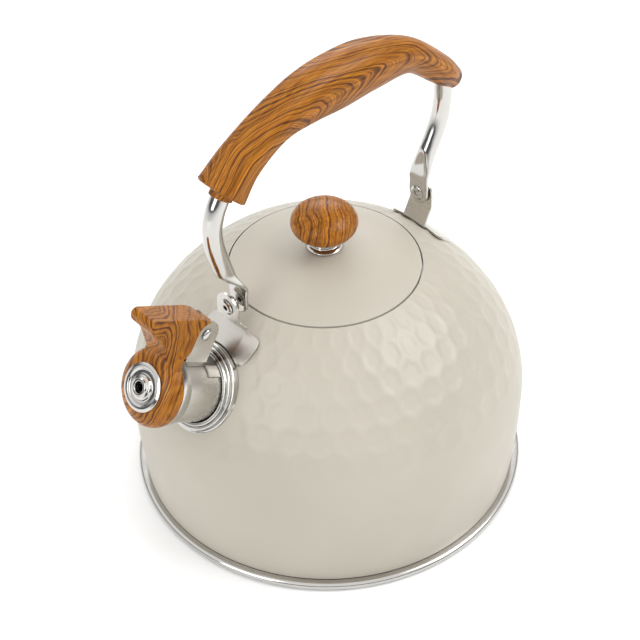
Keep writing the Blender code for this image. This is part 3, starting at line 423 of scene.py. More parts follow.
def noise(tree, vector, scale, detail=3.0, roughness=0.5, dimensions="3D"):
    made = tree.add("ShaderNodeTexNoise", {"noise_dimensions": dimensions})
    tree.feed(made, "Scale", scale)
    tree.feed(made, "Detail", detail)
    tree.feed(made, "Roughness", roughness)
    if vector is not None:
        tree.feed(made, "W" if dimensions == "1D" else "Vector", vector)
    return made.outputs["Fac"] if "Fac" in made.outputs else made.outputs[0]


def stretched(tree, vector, scale):
    """Multiply a vector by three numbers."""
    made = tree.add("ShaderNodeVectorMath", {"operation": "MULTIPLY"})
    tree.feed(made, 0, vector)
    made.inputs[1].default_value = scale
    return made.outputs[0]


def relief(tree, shader, height, distance, strength=1.0, edge=0.0002):
    """Bump on top of softly rounded edges."""
    bevel = tree.add("ShaderNodeBevel", {"samples": 4}, Radius=edge)
    bump = tree.add("ShaderNodeBump", Strength=strength, Distance=distance)
    tree.feed(bump, "Height", height)
    tree.feed(bump, "Normal", bevel.outputs[0])
    tree.feed(shader, "Normal", bump.outputs[0])


# %% [markdown]
# ### Satin enamel
#
# The pot is dipped or sprayed with a cream enamel and fired. Fired enamel is never perfectly flat:
# it has a faint orange peel, and the colour drifts a little where the coat is thicker.

# %% Enamel
def make_enamel():
    material, tree, shader = new_material("cream_enamel")
    place = tree.add("ShaderNodeTexCoord").outputs["Object"]
    drift = noise(tree, place, 14.0, 4.0)
    speck = noise(tree, place, 900.0, 2.0)
    colour = tree.ramp(drift, [(0.3, (0.420, 0.388, 0.324, 1.0)), (0.7, (0.455, 0.420, 0.354, 1.0))])
    tree.feed(shader, "Base Color", colour)
    handled = noise(tree, place, 38.0, 5.0)
    rough = tree.maths("ADD", tree.span(handled, 0.35, 0.7, 0.40, 0.50), tree.maths("MULTIPLY", speck, 0.03))
    tree.feed(shader, "Roughness", rough)
    tree.feed(shader, "Coat Weight", 0.12)
    tree.feed(shader, "Coat Roughness", 0.32)
    peel = tree.maths("ADD", noise(tree, place, 420.0, 2.0), tree.maths("MULTIPLY", speck, 0.3))
    relief(tree, shader, peel, 0.00003, 0.5)
    return material


enamel = make_enamel()


# %% [markdown]
# ### Steels
#
# Polished pieces come off a buffing wheel: nearly a mirror, with hairline scratches and a few dull
# smears where fingers go. Pressed brackets keep the grain of the rolled sheet, so their highlight
# is drawn out into a band.

# %% Polished, brushed and spring steel, and aluminium
def make_steel(name, colour, dull, bright, grain, lines, depth, edge=0.0002):
    material, tree, shader = new_material(name)
    place = tree.add("ShaderNodeTexCoord").outputs["Object"]
    smear = noise(tree, place, 55.0, 4.0)
    hair = noise(tree, stretched(tree, place, grain), lines, 3.0, 0.6)
    tint = tree.ramp(smear, [(0.3, (colour[0] * 0.94, colour[1] * 0.94, colour[2] * 0.94, 1.0)),
                             (0.7, (colour[0], colour[1], colour[2], 1.0))])
    tree.feed(shader, "Base Color", tint)
    shader.inputs["Metallic"].default_value = 1.0
    rough = tree.maths("ADD", tree.span(smear, 0.35, 0.7, bright, dull),
                       tree.maths("MULTIPLY", tree.maths("SUBTRACT", hair, 0.5), 0.5 * (dull - bright)))
    tree.feed(shader, "Roughness", rough)
    relief(tree, shader, hair, depth, 0.5, edge)
    return material


polished = make_steel("polished_steel", (0.57, 0.555, 0.53), 0.16, 0.07, (1.0, 1.0, 6.0), 260.0, 0.000004)
satin = make_steel("satin_steel", (0.57, 0.55, 0.505), 0.34, 0.24, (1.0, 14.0, 14.0), 130.0, 0.00001)
brushed = make_steel("brushed_steel", (0.62, 0.595, 0.55), 0.36, 0.26, (14.0, 1.0, 14.0), 130.0, 0.00001)
inner_steel = make_steel("inner_steel", (0.66, 0.65, 0.63), 0.42, 0.30, (1.0, 1.0, 16.0), 90.0, 0.00001)
aluminium = make_steel("heat_aluminium", (0.80, 0.80, 0.81), 0.5, 0.4, (1.0, 1.0, 1.0), 400.0, 0.00001)
spring = make_steel("spring_steel", (0.52, 0.51, 0.50), 0.3, 0.2, (1.0, 1.0, 1.0), 600.0, 0.000004)


# %% [markdown]
# ### Wood-look film
#
# The grip, the knob and the cap are moulded plastic wrapped in a printed film. The figure is a
# stack of dark growth lines of uneven width. One number is worked out for each point, and every
# line of the figure is a contour of that number, so bending the number bends the whole figure.

# %% Wood film
def make_wood(name, bands, fibre, figure):
    """figure(tree, x, y, z) gives the number whose contours are the growth lines."""
    material, tree, shader = new_material(name)
    stored = tree.add("ShaderNodeAttribute", {"attribute_name": "grain"}).outputs["Vector"]
    parts = tree.add("ShaderNodeSeparateXYZ", Vector=stored)
    number = figure(tree, stored, parts.outputs[0], parts.outputs[1], parts.outputs[2])
    wide = noise(tree, number, bands, 2.0, 0.55, "1D")
    thin = noise(tree, number, bands * 3.1, 2.0, 0.6, "1D")
    thread = noise(tree, stretched(tree, stored, fibre), 1.0, 4.0, 0.6)
    base = tree.ramp(thread, [
        (0.25, (0.270, 0.082, 0.005, 1.0)),
        (0.50, (0.410, 0.145, 0.010, 1.0)),
        (0.78, (0.550, 0.225, 0.020, 1.0)),
    ])
    dark = tree.ramp(wide, [
        (0.39, (1.0, 1.0, 1.0, 1.0)),
        (0.47, (0.60, 0.60, 0.60, 1.0)),
        (0.53, (0.0, 0.0, 0.0, 1.0)),
    ])
    lines = tree.ramp(thin, [
        (0.42, (0.95, 0.95, 0.95, 1.0)),
        (0.52, (0.0, 0.0, 0.0, 1.0)),
    ])
    both = tree.maths("MAXIMUM", dark, tree.maths("MULTIPLY", lines, 0.75))
    broken = tree.maths("MULTIPLY", both, tree.span(thread, 0.25, 0.62, 1.0, 0.72))
    mix = tree.add("ShaderNodeMix", {"data_type": "RGBA"})
    tree.feed(mix, 0, broken)
    tree.tree.links.new(base, mix.inputs[6])
    mix.inputs[7].default_value = (0.045, 0.010, 0.002, 1.0)
    tree.feed(shader, "Base Color", mix.outputs[2])
    place = tree.add("ShaderNodeTexCoord").outputs["Object"]
    worn = noise(tree, place, 60.0, 4.0)
    tree.feed(shader, "Roughness", tree.span(worn, 0.3, 0.7, 0.30, 0.42))
    shader.inputs["Specular IOR Level"].default_value = 0.22
    relief(tree, shader, tree.maths("ADD", broken, thread), 0.00002, 0.35, 0.0004)
    return material


def grip_figure(tree, stored, along, side, up):
    """Nested curves that open towards the front end and lie nearly straight there."""
    wander = tree.maths("SUBTRACT", noise(tree, stretched(tree, stored, (22.0, 60.0, 60.0)), 1.0, 2.0), 0.5)
    ripple = noise(tree, stretched(tree, stored, (120.0, 160.0, 160.0)), 1.0, 2.0)
    ripple = tree.maths("SUBTRACT", ripple, 0.5)
    height = tree.maths("ADD", up, tree.maths("MULTIPLY", side, -0.45))
    square = tree.maths("MULTIPLY", tree.maths("MULTIPLY", height, height), 5200.0)
    bow = tree.span(along, 0.03, 0.11, 0.25, 1.0)
    rise = tree.span(along, 0.02, 0.175, 0.0, 2.6)
    slope = tree.maths("MULTIPLY", height, 40.0)
    slope = tree.maths("MULTIPLY", slope, tree.span(along, 0.03, 0.12, 1.3, 0.35))
    number = tree.maths("ADD", tree.maths("ADD", rise, tree.maths("MULTIPLY", square, bow)), slope)
    number = tree.maths("ADD", number, tree.maths("MULTIPLY", wander, 0.45))
    return tree.maths("ADD", number, tree.maths("MULTIPLY", ripple, 0.05))


def knob_figure(tree, stored, along, side, up):
    """Upright streaks, a little wavy."""
    wander = tree.maths("SUBTRACT", noise(tree, stretched(tree, stored, (70.0, 70.0, 30.0)), 1.0, 2.0), 0.5)
    bend = tree.maths("MULTIPLY", up, 6.0)
    number = tree.maths("ADD", tree.maths("MULTIPLY", along, 42.0), bend)
    return tree.maths("ADD", number, tree.maths("MULTIPLY", wander, 0.35))


def cap_figure(tree, stored, along, side, up):
    """Lines that run down the round face and fold over along the lever."""
    wander = tree.maths("SUBTRACT", noise(tree, stretched(tree, stored, (55.0, 55.0, 28.0)), 1.0, 2.0), 0.5)
    lifted = tree.maths("MAXIMUM", tree.maths("SUBTRACT", up, 0.024), 0.0)
    reach = tree.maths("SUBTRACT", along, 0.058)
    fold = tree.maths("SQRT", tree.maths("ADD", tree.maths("MULTIPLY", reach, reach),
                                         tree.maths("MULTIPLY", lifted, lifted)))
    number = tree.maths("ADD", tree.maths("MULTIPLY", side, 34.0), tree.maths("MULTIPLY", fold, 55.0))
    return tree.maths("ADD", number, tree.maths("MULTIPLY", wander, 0.5))


wood_grip = make_wood("wood_film_grip", 13.0, (60.0, 700.0, 700.0), grip_figure)
wood_knob = make_wood("wood_film_knob", 14.0, (700.0, 700.0, 60.0), knob_figure)
wood_cap = make_wood("wood_film_cap", 13.0, (300.0, 700.0, 120.0), cap_figure)
print("materials:", len(bpy.data.materials))

# %% [markdown]
# ## The pot and its honeycomb
#
# The pot is spun from a steel blank and then rolled between dies that press rows of shallow
# six-sided dimples into the shoulder. Alternate rows are half a cell out of step. The rule is
# simple enough for Geometry Nodes: each point finds its distance to the nearest cell centre, and
# moves inwards by an amount that depends on that distance alone.

# %% Outline of the pot
def pot_arcs():
    turn = math.asin((BODY_RADIUS - SHOULDER_RADIUS) / (CROWN_RADIUS - SHOULDER_RADIUS))
    reach = CROWN_RADIUS - SHOULDER_RADIUS
    shoulder = (reach * math.sin(turn), CROWN_CENTRE + reach * math.cos(turn))
    drop = shoulder[1] - FOOT_HEIGHT
    inset = BODY_RADIUS - FOOT_RADIUS
    side_radius = (drop ** 2 + inset ** 2) / (2 * inset)
    return turn, shoulder, (BODY_RADIUS - side_radius, shoulder[1]), side_radius


def pot_outline(offset, top_radius, steps):
    """The pot's outer line from the mouth to the foot, moved outwards by an offset."""
    turn, shoulder, side, side_radius = pot_arcs()
    start = math.acos(top_radius / (CROWN_RADIUS + offset))
    dome = arc((0.0, CROWN_CENTRE), CROWN_RADIUS + offset, start, math.pi / 2 - turn, steps[0])
    bend = arc(shoulder, SHOULDER_RADIUS + offset, math.pi / 2 - turn, 0.0, steps[1])
    foot = -math.asin((shoulder[1] - FOOT_HEIGHT) / side_radius)
    return dome + bend[1:] + arc(side, side_radius + offset, 0.0, foot, steps[2])[1:]


CELLS_AROUND = 40
COLUMNS = CELLS_AROUND * 12
outer = pot_outline(0.0, MOUTH_RADIUS, (46, 34, 14))
inner = pot_outline(-WALL, MOUTH_RADIUS + WALL, (10, 8, 6))
mouth_z = outer[0][1]
ledge_z = mouth_z - LEDGE_DROP
neck = MOUTH_RADIUS - LEDGE_WIDTH
rim = [(MOUTH_RADIUS + WALL, ledge_z - WALL), (neck, ledge_z - WALL), (neck, ledge_z - NECK_DEPTH),
       (neck - WALL, ledge_z - NECK_DEPTH), (neck - WALL, ledge_z - 0.4 * MM), (neck - 0.6 * MM, ledge_z),
       (MOUTH_RADIUS - 0.3 * MM, ledge_z), (MOUTH_RADIUS, ledge_z + 0.3 * MM)]
inner[-1] = (inner[-1][0], FOOT_HEIGHT)
lengths = [CROWN_RADIUS * math.asin(MOUTH_RADIUS / CROWN_RADIUS)]
for a, b in zip(outer, outer[1:]):
    lengths.append(lengths[-1] + math.dist(a, b))
profile = outer + list(reversed(inner)) + rim
values = [(s, 1.0) for s in lengths] + [(0.0, 0.0)] * (len(profile) - len(outer))
pot = lathe("pot_shell", profile, COLUMNS, values=values)
print("pot outline is %.0f mm long, %d columns" % ((lengths[-1] - lengths[0]) / MM, COLUMNS))


# %% Geometry Nodes: the honeycomb rule
def honeycomb_tree():
    group = bpy.data.node_groups.new("honeycomb_dimples", "GeometryNodeTree")
    face = group.interface
    face.new_socket("Geometry", in_out="INPUT", socket_type="NodeSocketGeometry")
    for label, kind in (("Cells Around", "Float"), ("First Row", "Float"), ("Row Spacing", "Float"),
                        ("Rows", "Float"), ("Depth", "Float"), ("Edge Width", "Float"),
                        ("Spout Centre", "Vector"), ("Plain Radius", "Float"),
                        ("Outer Finish", "Material"), ("Inner Finish", "Material")):
        face.new_socket(label, in_out="INPUT", socket_type="NodeSocket" + kind)
    face.new_socket("Geometry", in_out="OUTPUT", socket_type="NodeSocketGeometry")
    tree = Tree(group)
    given = tree.add("NodeGroupInput").outputs
    place = tree.add("GeometryNodeInputPosition").outputs[0]
    normal = tree.add("GeometryNodeInputNormal").outputs[0]
    along = tree.add("GeometryNodeInputNamedAttribute", {"data_type": "FLOAT"}, Name="along").outputs[0]
    outside = tree.add("GeometryNodeInputNamedAttribute", {"data_type": "FLOAT"}, Name="outside").outputs[0]
    m = tree.maths
    parts = tree.add("ShaderNodeSeparateXYZ", Vector=place).outputs
    angle = m("ARCTAN2", parts[1], parts[0])
    around = m("DIVIDE", m("MULTIPLY", angle, given["Cells Around"]), 2 * math.pi)
    row = m("DIVIDE", m("SUBTRACT", along, given["First Row"]), given["Row Spacing"])

    def cell_distance(shift):
        """Six-sided distance to the nearest centre in every other row."""
        side = m("SUBTRACT", around, shift)
        side = m("ABSOLUTE", m("SUBTRACT", side, m("ROUND", side)))
        half = m("DIVIDE", m("SUBTRACT", row, 2.0 * shift), 2.0)
        down = m("ABSOLUTE", m("MULTIPLY", m("SUBTRACT", half, m("ROUND", half)), 2.0))
        slant = m("ADD", m("MULTIPLY", side, 0.5), m("MULTIPLY", down, 0.75))
        return m("MAXIMUM", side, slant)

    distance = m("MINIMUM", cell_distance(0.0), cell_distance(0.5))
    inside = m("DIVIDE", m("SUBTRACT", 0.5, distance), given["Edge Width"])
    hollow = tree.add("ShaderNodeMapRange", {"interpolation_type": "SMOOTHERSTEP"}, Value=inside).outputs[0]
    first = tree.span(row, -0.75, -0.35, 0.0, 1.0)
    last = tree.maths("SUBTRACT", given["Rows"], row)
    last = tree.span(last, 0.3, 0.75, 0.0, 1.0)
    fade = tree.span(row, -0.5, 1.2, 0.45, 1.0)
    away = tree.add("ShaderNodeVectorMath", {"operation": "DISTANCE"})
    tree.feed(away, 0, place)
    tree.feed(away, 1, given["Spout Centre"])
    clear = m("DIVIDE", m("SUBTRACT", away.outputs["Value"], given["Plain Radius"]), 0.008)
    clear = tree.span(clear, 0.0, 1.0, 0.0, 1.0)
    amount = m("MULTIPLY", m("MULTIPLY", hollow, m("MULTIPLY", first, last)), m("MULTIPLY", fade, clear))
    amount = m("MULTIPLY", m("MULTIPLY", amount, outside), m("MULTIPLY", given["Depth"], -1.0))
    move = tree.add("ShaderNodeVectorMath", {"operation": "SCALE"})
    tree.feed(move, 0, normal)
    tree.feed(move, "Scale", amount)
    shaped = tree.add("GeometryNodeSetPosition", Geometry=given["Geometry"], Offset=move.outputs[0])
    real = tree.add("GeometryNodeRealizeInstances", Geometry=shaped.outputs[0])
    bare = tree.add("GeometryNodeSetMaterial", Geometry=real.outputs[0], Material=given["Inner Finish"])
    skin = m("GREATER_THAN", outside, 0.5)
    coated = tree.add("GeometryNodeSetMaterial", Geometry=bare.outputs[0], Selection=skin,
                      Material=given["Outer Finish"])
    tree.add("NodeGroupOutput", Geometry=coated.outputs[0])
    return group


honeycomb = honeycomb_tree()
step = pot.modifiers.new("honeycomb", "NODES")
step.node_group = honeycomb
settings = {
    "Cells Around": float(CELLS_AROUND),
    "First Row": 60.0 * MM,
    "Row Spacing": 13.3 * MM,
    "Rows": 6.0,
    "Depth": 0.55 * MM,
    "Edge Width": 0.30,
    "Spout Centre": tuple(SPOUT_ROOT),
    "Plain Radius": 27.0 * MM,
    "Outer Finish": enamel,
    "Inner Finish": inner_steel,
}
for item in honeycomb.interface.items_tree:
    if item.in_out == "INPUT" and item.name in settings:
        step[item.identifier] = settings[item.name]
pot = bake(pot, "pot_shell")
hole = lathe("spout_hole", [(0.0, 30 * MM), (SPOUT_RADIUS + GAP, 30 * MM), (SPOUT_RADIUS + GAP, -30 * MM),
                            (0.0, -30 * MM)], MEDIUM, spout_place())
pot = cut(pot, hole)
pot.data.shade_smooth()
pot.data.set_sharp_from_angle(angle=math.radians(32.0))
dress(pot, None, "pot", "enamel", "body_shell")

# %% [markdown]
# ## The base
#
# The pot's lower edge is rolled together with the edge of a bottom pan, which leaves a bright
# round bead. Under the pan a thin steel dish holds a pressed aluminium disc that spreads the heat.

# %% Base rim and capsule
bead = 2.3 * MM
pan_low, pan_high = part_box("base_pan")
base_radius = pan_high.x
bead_z = pan_low.z + bead
pan_profile = [(0.0, 5.9 * MM), (101.0 * MM, 5.9 * MM), (103.2 * MM, 7.2 * MM), (103.6 * MM, 14.4 * MM),
               (104.5 * MM, 14.4 * MM), (104.5 * MM, 5.1 * MM)]
pan_profile += arc((base_radius - bead, bead_z), bead, math.pi / 2, -math.pi / 2, 18)
pan_profile += [(base_radius - bead - 1.2 * MM, pan_low.z), (103.4 * MM, 4.7 * MM), (0.0, 4.7 * MM)]
base = lathe("base_rim", pan_profile, FINE + 80)
dress(base, polished, "pot", "polished_steel", "base_pan")
capsule_profile = soften([(0.0, 0.8 * MM), (91.1 * MM, 0.8 * MM), (91.1 * MM, 4.6 * MM),
                          (92.0 * MM, 4.6 * MM),
                          (92.0 * MM, 0.0, 1.1 * MM), (0.0, 0.0)], 6, closed=False)
capsule = lathe("base_capsule", capsule_profile, FINE)
dress(capsule, inner_steel, "pot", "brushed_steel", "capsule_cover")


# %% [markdown]
# ## Spout and collar
#
# The spout is a drawn tube pushed through a hole in the shoulder. A pressed collar with three
# polished ridges covers the joint, and its lower edge follows the pot.

# %% Spout tube and ridged collar
tube = lathe("spout_tube_skin", soften([
    (17.2 * MM, SPOUT_MOUTH, 0.35 * MM),
    (SPOUT_RADIUS, SPOUT_MOUTH, 0.45 * MM),
    (SPOUT_RADIUS, -9.0 * MM, 0.2 * MM),
    (17.2 * MM, -9.0 * MM, 0.2 * MM)], 5), FINE, spout_place())
dress(tube, satin, "pot", "polished_steel", "spout_tube")


def outside_pot(point):
    """Signed height of a point above the pot's skin, along the pot's outline."""
    turn, shoulder, side, side_radius = pot_arcs()
    r, z = math.hypot(point.x, point.y), point.z
    if math.atan2(r, z - CROWN_CENTRE) < turn:
        return math.hypot(r, z - CROWN_CENTRE) - CROWN_RADIUS
    return math.hypot(r - shoulder[0], z - shoulder[1]) - SHOULDER_RADIUS


def slide_to_pot(point, clearance):
    """Move a point along the spout axis until it is a clearance above the pot."""
    low_s, high_s = -0.02, 0.02
    for _ in range(40):
        middle = (low_s + high_s) / 2
        if outside_pot(point + along_spout * middle) > clearance:
            high_s = middle
        else:
            low_s = middle
    return point + along_spout * high_s


ridge_top = [(18.6 * MM, -2.0 * MM), (18.6 * MM, 5.1 * MM), (19.1 * MM, COLLAR_HEIGHT - 0.05 * MM)]
for crest, height, radius in ((20.0, 5.0, 0.62), (21.75, 3.8, 0.78), (23.3, 2.2, 0.9)):
    ridge_middle = (crest * MM, (height - radius * 0.4) * MM)
    ridge_top += arc(ridge_middle, radius * MM, math.radians(150), math.radians(-8), 9)
collar_profile = ridge_top + [(COLLAR_RADIUS, 0.2 * MM), (COLLAR_RADIUS, -2.0 * MM)]
collar = lathe("spout_collar_ridges", collar_profile, FINE, spout_place(), angle=50.0)
inverse = spout_place().inverted()
for vertex in collar.data.vertices:
    own = inverse @ vertex.co
    if own.z < -1.9 * MM:
        vertex.co = slide_to_pot(vertex.co, GAP)
dress(collar, polished, "pot", "polished_steel", "spout_collar")

# %% [markdown]
# ## Pressed brackets, pins and rivets
#
# The hinge bracket is one strip of sheet folded over the tube with two upright ears. The two
# handle brackets are one pressing used twice. All are cut from sheet, so their edges stay crisp
# but not sharp, and they are spot welded before the pot is painted.

# %% Brackets from welded copies of the CAD
for node, material, slot in (("spout_bracket", brushed, "polished_steel"),
                             ("front_bracket", brushed, "brushed_steel"),
                             ("rear_bracket", brushed, "brushed_steel")):
    bracket = cad_copy(node)
    bracket.name = node + "_sheet"
    dress(bracket, material, "pot", slot, node)


# %% Hinge pin and tubular rivets
def rivet(name, node, axis):
    """A tubular rivet whose head is a rolled ring round an open bore."""
    low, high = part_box(node)
    middle = (low + high) / 2
    half = (high.x - low.x) / 2
    radius = (high.z - low.z) / 2
    head = soften([(1.4 * MM, half - 1.0 * MM, 0.2 * MM), (1.5 * MM, half - 0.05 * MM, 0.35 * MM),
                   (radius - 1.3 * MM, half, 0.8 * MM), (radius, half - 0.9 * MM, 0.25 * MM),
                   (radius, half - 1.1 * MM), (2.4 * MM, half - 1.1 * MM)], 5, closed=False)
    profile = head + [(r, -z) for r, z in reversed(head)]
    return lathe(name, profile, SMALL, Matrix.Translation(middle) @ axis)


along_x = Matrix.Rotation(math.pi / 2, 4, "Y")
for node in ("front_rivet", "rear_rivet"):
    dress(rivet(node + "_head", node, along_x), polished, "pot", "polished_steel", node)
low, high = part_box("cap_hinge_pin")
half = (high.y - low.y) / 2
head_radius = (high.z - low.z) / 2
head_rise = 1.5 * MM
dome = [(head_radius * math.cos(a), half - head_rise + head_rise * math.sin(a))
        for a in [math.pi / 2 * (1 - k / 10) for k in range(11)]]
dome[0] = (0.0, half)
pin_profile = dome + [(1.6 * MM, half - head_rise)]
pin_profile += [(r, -z) for r, z in reversed(pin_profile)]
pin_place = Matrix.Translation((low + high) / 2) @ Matrix.Rotation(math.pi / 2, 4, "X")
pin = lathe("hinge_pin", pin_profile, SMALL, pin_place)
dress(pin, polished, "pot", "polished_steel", "cap_hinge_pin")

# %% [markdown]
# ## Lid
#
# The lid is the cut-out middle of the same dome, so it carries the curve of the pot on. It has a
# turned-down edge, a steel collar that keeps it centred in the mouth, and a knob on a screw.

# %% Lid, ferrule and knob
lid_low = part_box("lid_shell")[0].z
edge_angle = math.acos((LID_RADIUS - 0.5 * MM) / CROWN_RADIUS)
hole_angle = math.acos(2.8 * MM / CROWN_RADIUS)
lid_top = arc((0.0, CROWN_CENTRE), CROWN_RADIUS, hole_angle, edge_angle, 40)
edge_z = lid_top[-1][1]
lid_edge = arc((LID_RADIUS - 0.5 * MM, edge_z - 0.5 * MM), 0.5 * MM, math.radians(64), 0.0, 5)
lid_under = arc((0.0, CROWN_CENTRE), CROWN_RADIUS - WALL, math.acos((LID_RADIUS - WALL) / (CROWN_RADIUS - WALL)),
                math.acos(2.8 * MM / (CROWN_RADIUS - WALL)), 20)
lid_profile = lid_top + lid_edge[1:] + [(LID_RADIUS, lid_low), (LID_RADIUS - WALL, lid_low)] + lid_under
lid = lathe("lid_dome", lid_profile, FINE)
dress(lid, enamel, "lid", "enamel", "lid_shell")

low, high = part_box("knob_ferrule")
base_z = low.z
ferrule_radius = high.x
tall = high.z - low.z
ferrule_profile = soften([
    (2.8 * MM, base_z + tall), (ferrule_radius - 1.4 * MM, base_z + tall, 0.4 * MM),
    (ferrule_radius - 2.4 * MM, base_z + 0.45 * tall, 0.8 * MM),
    (ferrule_radius - 0.9 * MM, base_z + 0.30 * tall, 0.5 * MM),
    (ferrule_radius, base_z + 0.16 * tall, 0.4 * MM), (ferrule_radius, base_z, 0.1 * MM), (2.8 * MM, base_z)], 6)
ferrule = lathe("knob_ferrule_ring", ferrule_profile, MEDIUM)
dress(ferrule, polished, "lid", "polished_steel", "knob_ferrule")

low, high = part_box("knob")
knob_radius = high.x
half = (high.z - low.z) / 2
centre = (high.z + low.z) / 2
flat = math.acos(7.0 * MM / knob_radius)
ball = [(knob_radius * math.cos(a), centre + half * math.sin(a))
        for a in [math.pi / 2 - (math.pi / 2 + flat) * k / 48 for k in range(49)]]
ball[0] = (0.0, high.z)
knob = lathe("knob_ball", ball + [(7.0 * MM, low.z), (0.0, low.z)], FINE)
turn = Matrix.Rotation(math.radians(38.0), 4, "Z")
store_grain(knob, [turn @ (v.co - Vector((0.0, 0.0, centre))) for v in knob.data.vertices])
dress(knob, wood_knob, "lid", "wood_film", "knob")

# %% [markdown]
# ## Handle arms
#
# Each arm is a steel rod. Its lower end is pressed flat to take the rivet, and the press leaves a
# shallow hollow down the middle where the round rod gives way to the flat.

# %% Arms as lofted sections
FRONT_LINE = [(64.2, 158.0), (66.2, 168.0), (69.6, 178.5), (72.3, 190.0), (72.8, 200.0), (70.6, 208.6),
              (67.2, 215.1), (62.2, 222.6)]
REAR_LINE = [(-70.5, 158.0), (-73.6, 167.0), (-79.2, 177.5), (-84.2, 189.0), (-86.4, 201.0), (-86.0, 214.0)]


def arm(name, line, plate_x):
    """Sections from the rounded flat end up to the round rod inside the grip."""
    flat_x = plate_x / MM
    path = [(flat_x, PIVOT_HEIGHT / MM), (flat_x, 152.5), (flat_x, line[0][1])] + line[1:]
    centre_line = spline(path, 12) * MM
    rings = []
    thick = ARM_PLATE_THICKNESS / 2
    for k in range(11):
        a = math.pi / 2 * (1 - k / 10)
        z = PIVOT_HEIGHT - ARM_PLATE_HALF * math.sin(a) * 0.999
        half_width = max(ARM_PLATE_HALF * math.cos(a), 0.4 * MM)
        rings.append(section(plate_x, z, Vector((0, 0, 1)), thick, half_width, 1.0, 0.0))
    for k in range(1, len(centre_line) - 1):
        x, z = centre_line[k]
        step = centre_line[k + 1] - centre_line[k - 1]
        direction = Vector((step[0], 0.0, step[1])).normalized()
        part = min(max((ARM_ROUND_FROM - z) / (ARM_ROUND_FROM - ARM_FLAT_TO), 0.0), 1.0)
        part = part * part * (3 - 2 * part)
        half_thick = ARM_RADIUS * (thick / ARM_RADIUS) ** part
        half_width = ARM_RADIUS * (ARM_PLATE_HALF / ARM_RADIUS) ** part
        press = 4.0 * part * (1.0 - part)
        rings.append(section(x, z, direction, half_thick, half_width, part, press))
    return loft(name, rings, 50.0)


def section(x, z, direction, half_thick, half_width, part, press):
    """One closed section: round when part is 0, a rounded bar when it is 1."""
    sideways = Vector((0.0, 1.0, 0.0))
    outwards = sideways.cross(direction)
    power = 2.0 + 3.0 * part
    ring = []
    for i in range(48):
        a = 2 * math.pi * i / 48
        c, s = math.cos(a), math.sin(a)
        u = math.copysign(abs(c) ** (2 / power), c) * half_thick
        v = math.copysign(abs(s) ** (2 / power), s) * half_width
        u *= 1.0 - 0.30 * press * math.exp(-(v / (0.42 * half_width)) ** 2)
        ring.append(Vector((x, 0.0, z)) + outwards * u + sideways * v)
    return ring


low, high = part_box("front_arm")
front_x = low.x + ARM_PLATE_THICKNESS / 2
front_arm = arm("front_arm_rod", FRONT_LINE, front_x)
dress(front_arm, polished, "handle", "polished_steel", "front_arm")
low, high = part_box("rear_arm")
rear_x = high.x - ARM_PLATE_THICKNESS / 2
rear_arm = arm("rear_arm_rod", REAR_LINE, rear_x)
dress(rear_arm, polished, "handle", "polished_steel", "rear_arm")
print("arm plates at x = %.1f and %.1f mm" % (front_x / MM, rear_x / MM))

# %% [markdown]
# ## Grip
#
# The grip is moulded over the arm ends. It is narrow at the neck, swells where the palm sits and
# ends in a short tail, with a small boss where the front arm goes in.

# %% Grip as a lofted oval
GRIP_STATIONS = [
    (66.2, 218.9, 13.6, 12.2), (53.2, 231.1, 10.4, 11.6), (32.8, 242.2, 10.3, 11.0),
    (11.8, 246.9, 13.5, 11.8),
    (-8.4, 247.6, 14.7, 12.8), (-30.8, 246.8, 13.3, 12.4), (-58.2, 239.9, 9.2, 9.8), (-81.0, 221.9, 8.1, 9.4),
    (-91.2, 212.1, 6.6, 7.0)]
GRIP_TAIL = 4.8 * MM
stations = spline(GRIP_STATIONS, 14) * MM
directions = np.gradient(stations[:, :2], axis=0)
directions /= np.linalg.norm(directions, axis=1)[:, None]
travelled = np.r_[0.0, np.cumsum(np.linalg.norm(np.diff(stations[:, :2], axis=0), axis=1))]
rings, grains = [], []


def grip_ring(centre, direction, half_height, half_width, along):
    upward = np.array((direction[1], -direction[0]))
    upward = upward if upward[1] > 0 else -upward
    ring, grain = [], []
    for i in range(64):
        a = 2 * math.pi * i / 64
        c, s = math.cos(a), math.sin(a)
        h = math.copysign(abs(c) ** 0.93, c) * half_height
        w = math.copysign(abs(s) ** 0.93, s) * half_width
        ring.append((centre[0] + upward[0] * h, w, centre[1] + upward[1] * h))
        grain.append((along, w, h))
    rings.append(ring)
    grains.append(grain)


edge = 1.6 * MM
for k in range(6):
    a = math.pi / 2 * k / 6
    inset = edge * (1 - math.sin(a))
    grip_ring(stations[0][:2] + directions[0] * edge * (1 - math.cos(a)), directions[0],
              stations[0][2] - inset, stations[0][3] - inset, edge * (1 - math.cos(a)))
for k in range(1, len(stations)):
    if travelled[k] > edge:
        grip_ring(stations[k][:2], directions[k], stations[k][2], stations[k][3], travelled[k])
for k in range(1, 13):
    a = math.pi / 2 * k / 12 * 0.97
    share = math.sin(a)
    shrink = math.cos(a)
    grip_ring(stations[-1][:2] + directions[-1] * GRIP_TAIL * share, directions[-1],
              stations[-1][2] * shrink, stations[-1][3] * shrink, travelled[-1] + GRIP_TAIL * share)
grip = loft("grip_moulding", rings, 60.0)
entry = Vector((67.2 * MM, 0.0, 215.1 * MM))
lean = math.atan2(62.2 - 67.2, 222.6 - 215.1)
boss_place = Matrix.Translation(entry) @ Matrix.Rotation(lean, 4, "Y")
boss = lathe("grip_boss", soften([(0.0, 12.0 * MM), (6.2 * MM, 12.0 * MM), (6.2 * MM, 1.0 * MM, 0.6 * MM),
                                  (0.0, 1.0 * MM)], 4, closed=False), SMALL, boss_place)
grip = cut(grip, boss, "UNION")
finish_mesh(grip.data, 50.0)
line = np.array([(p[0], p[1]) for p in stations[:, :2]])
vectors = []
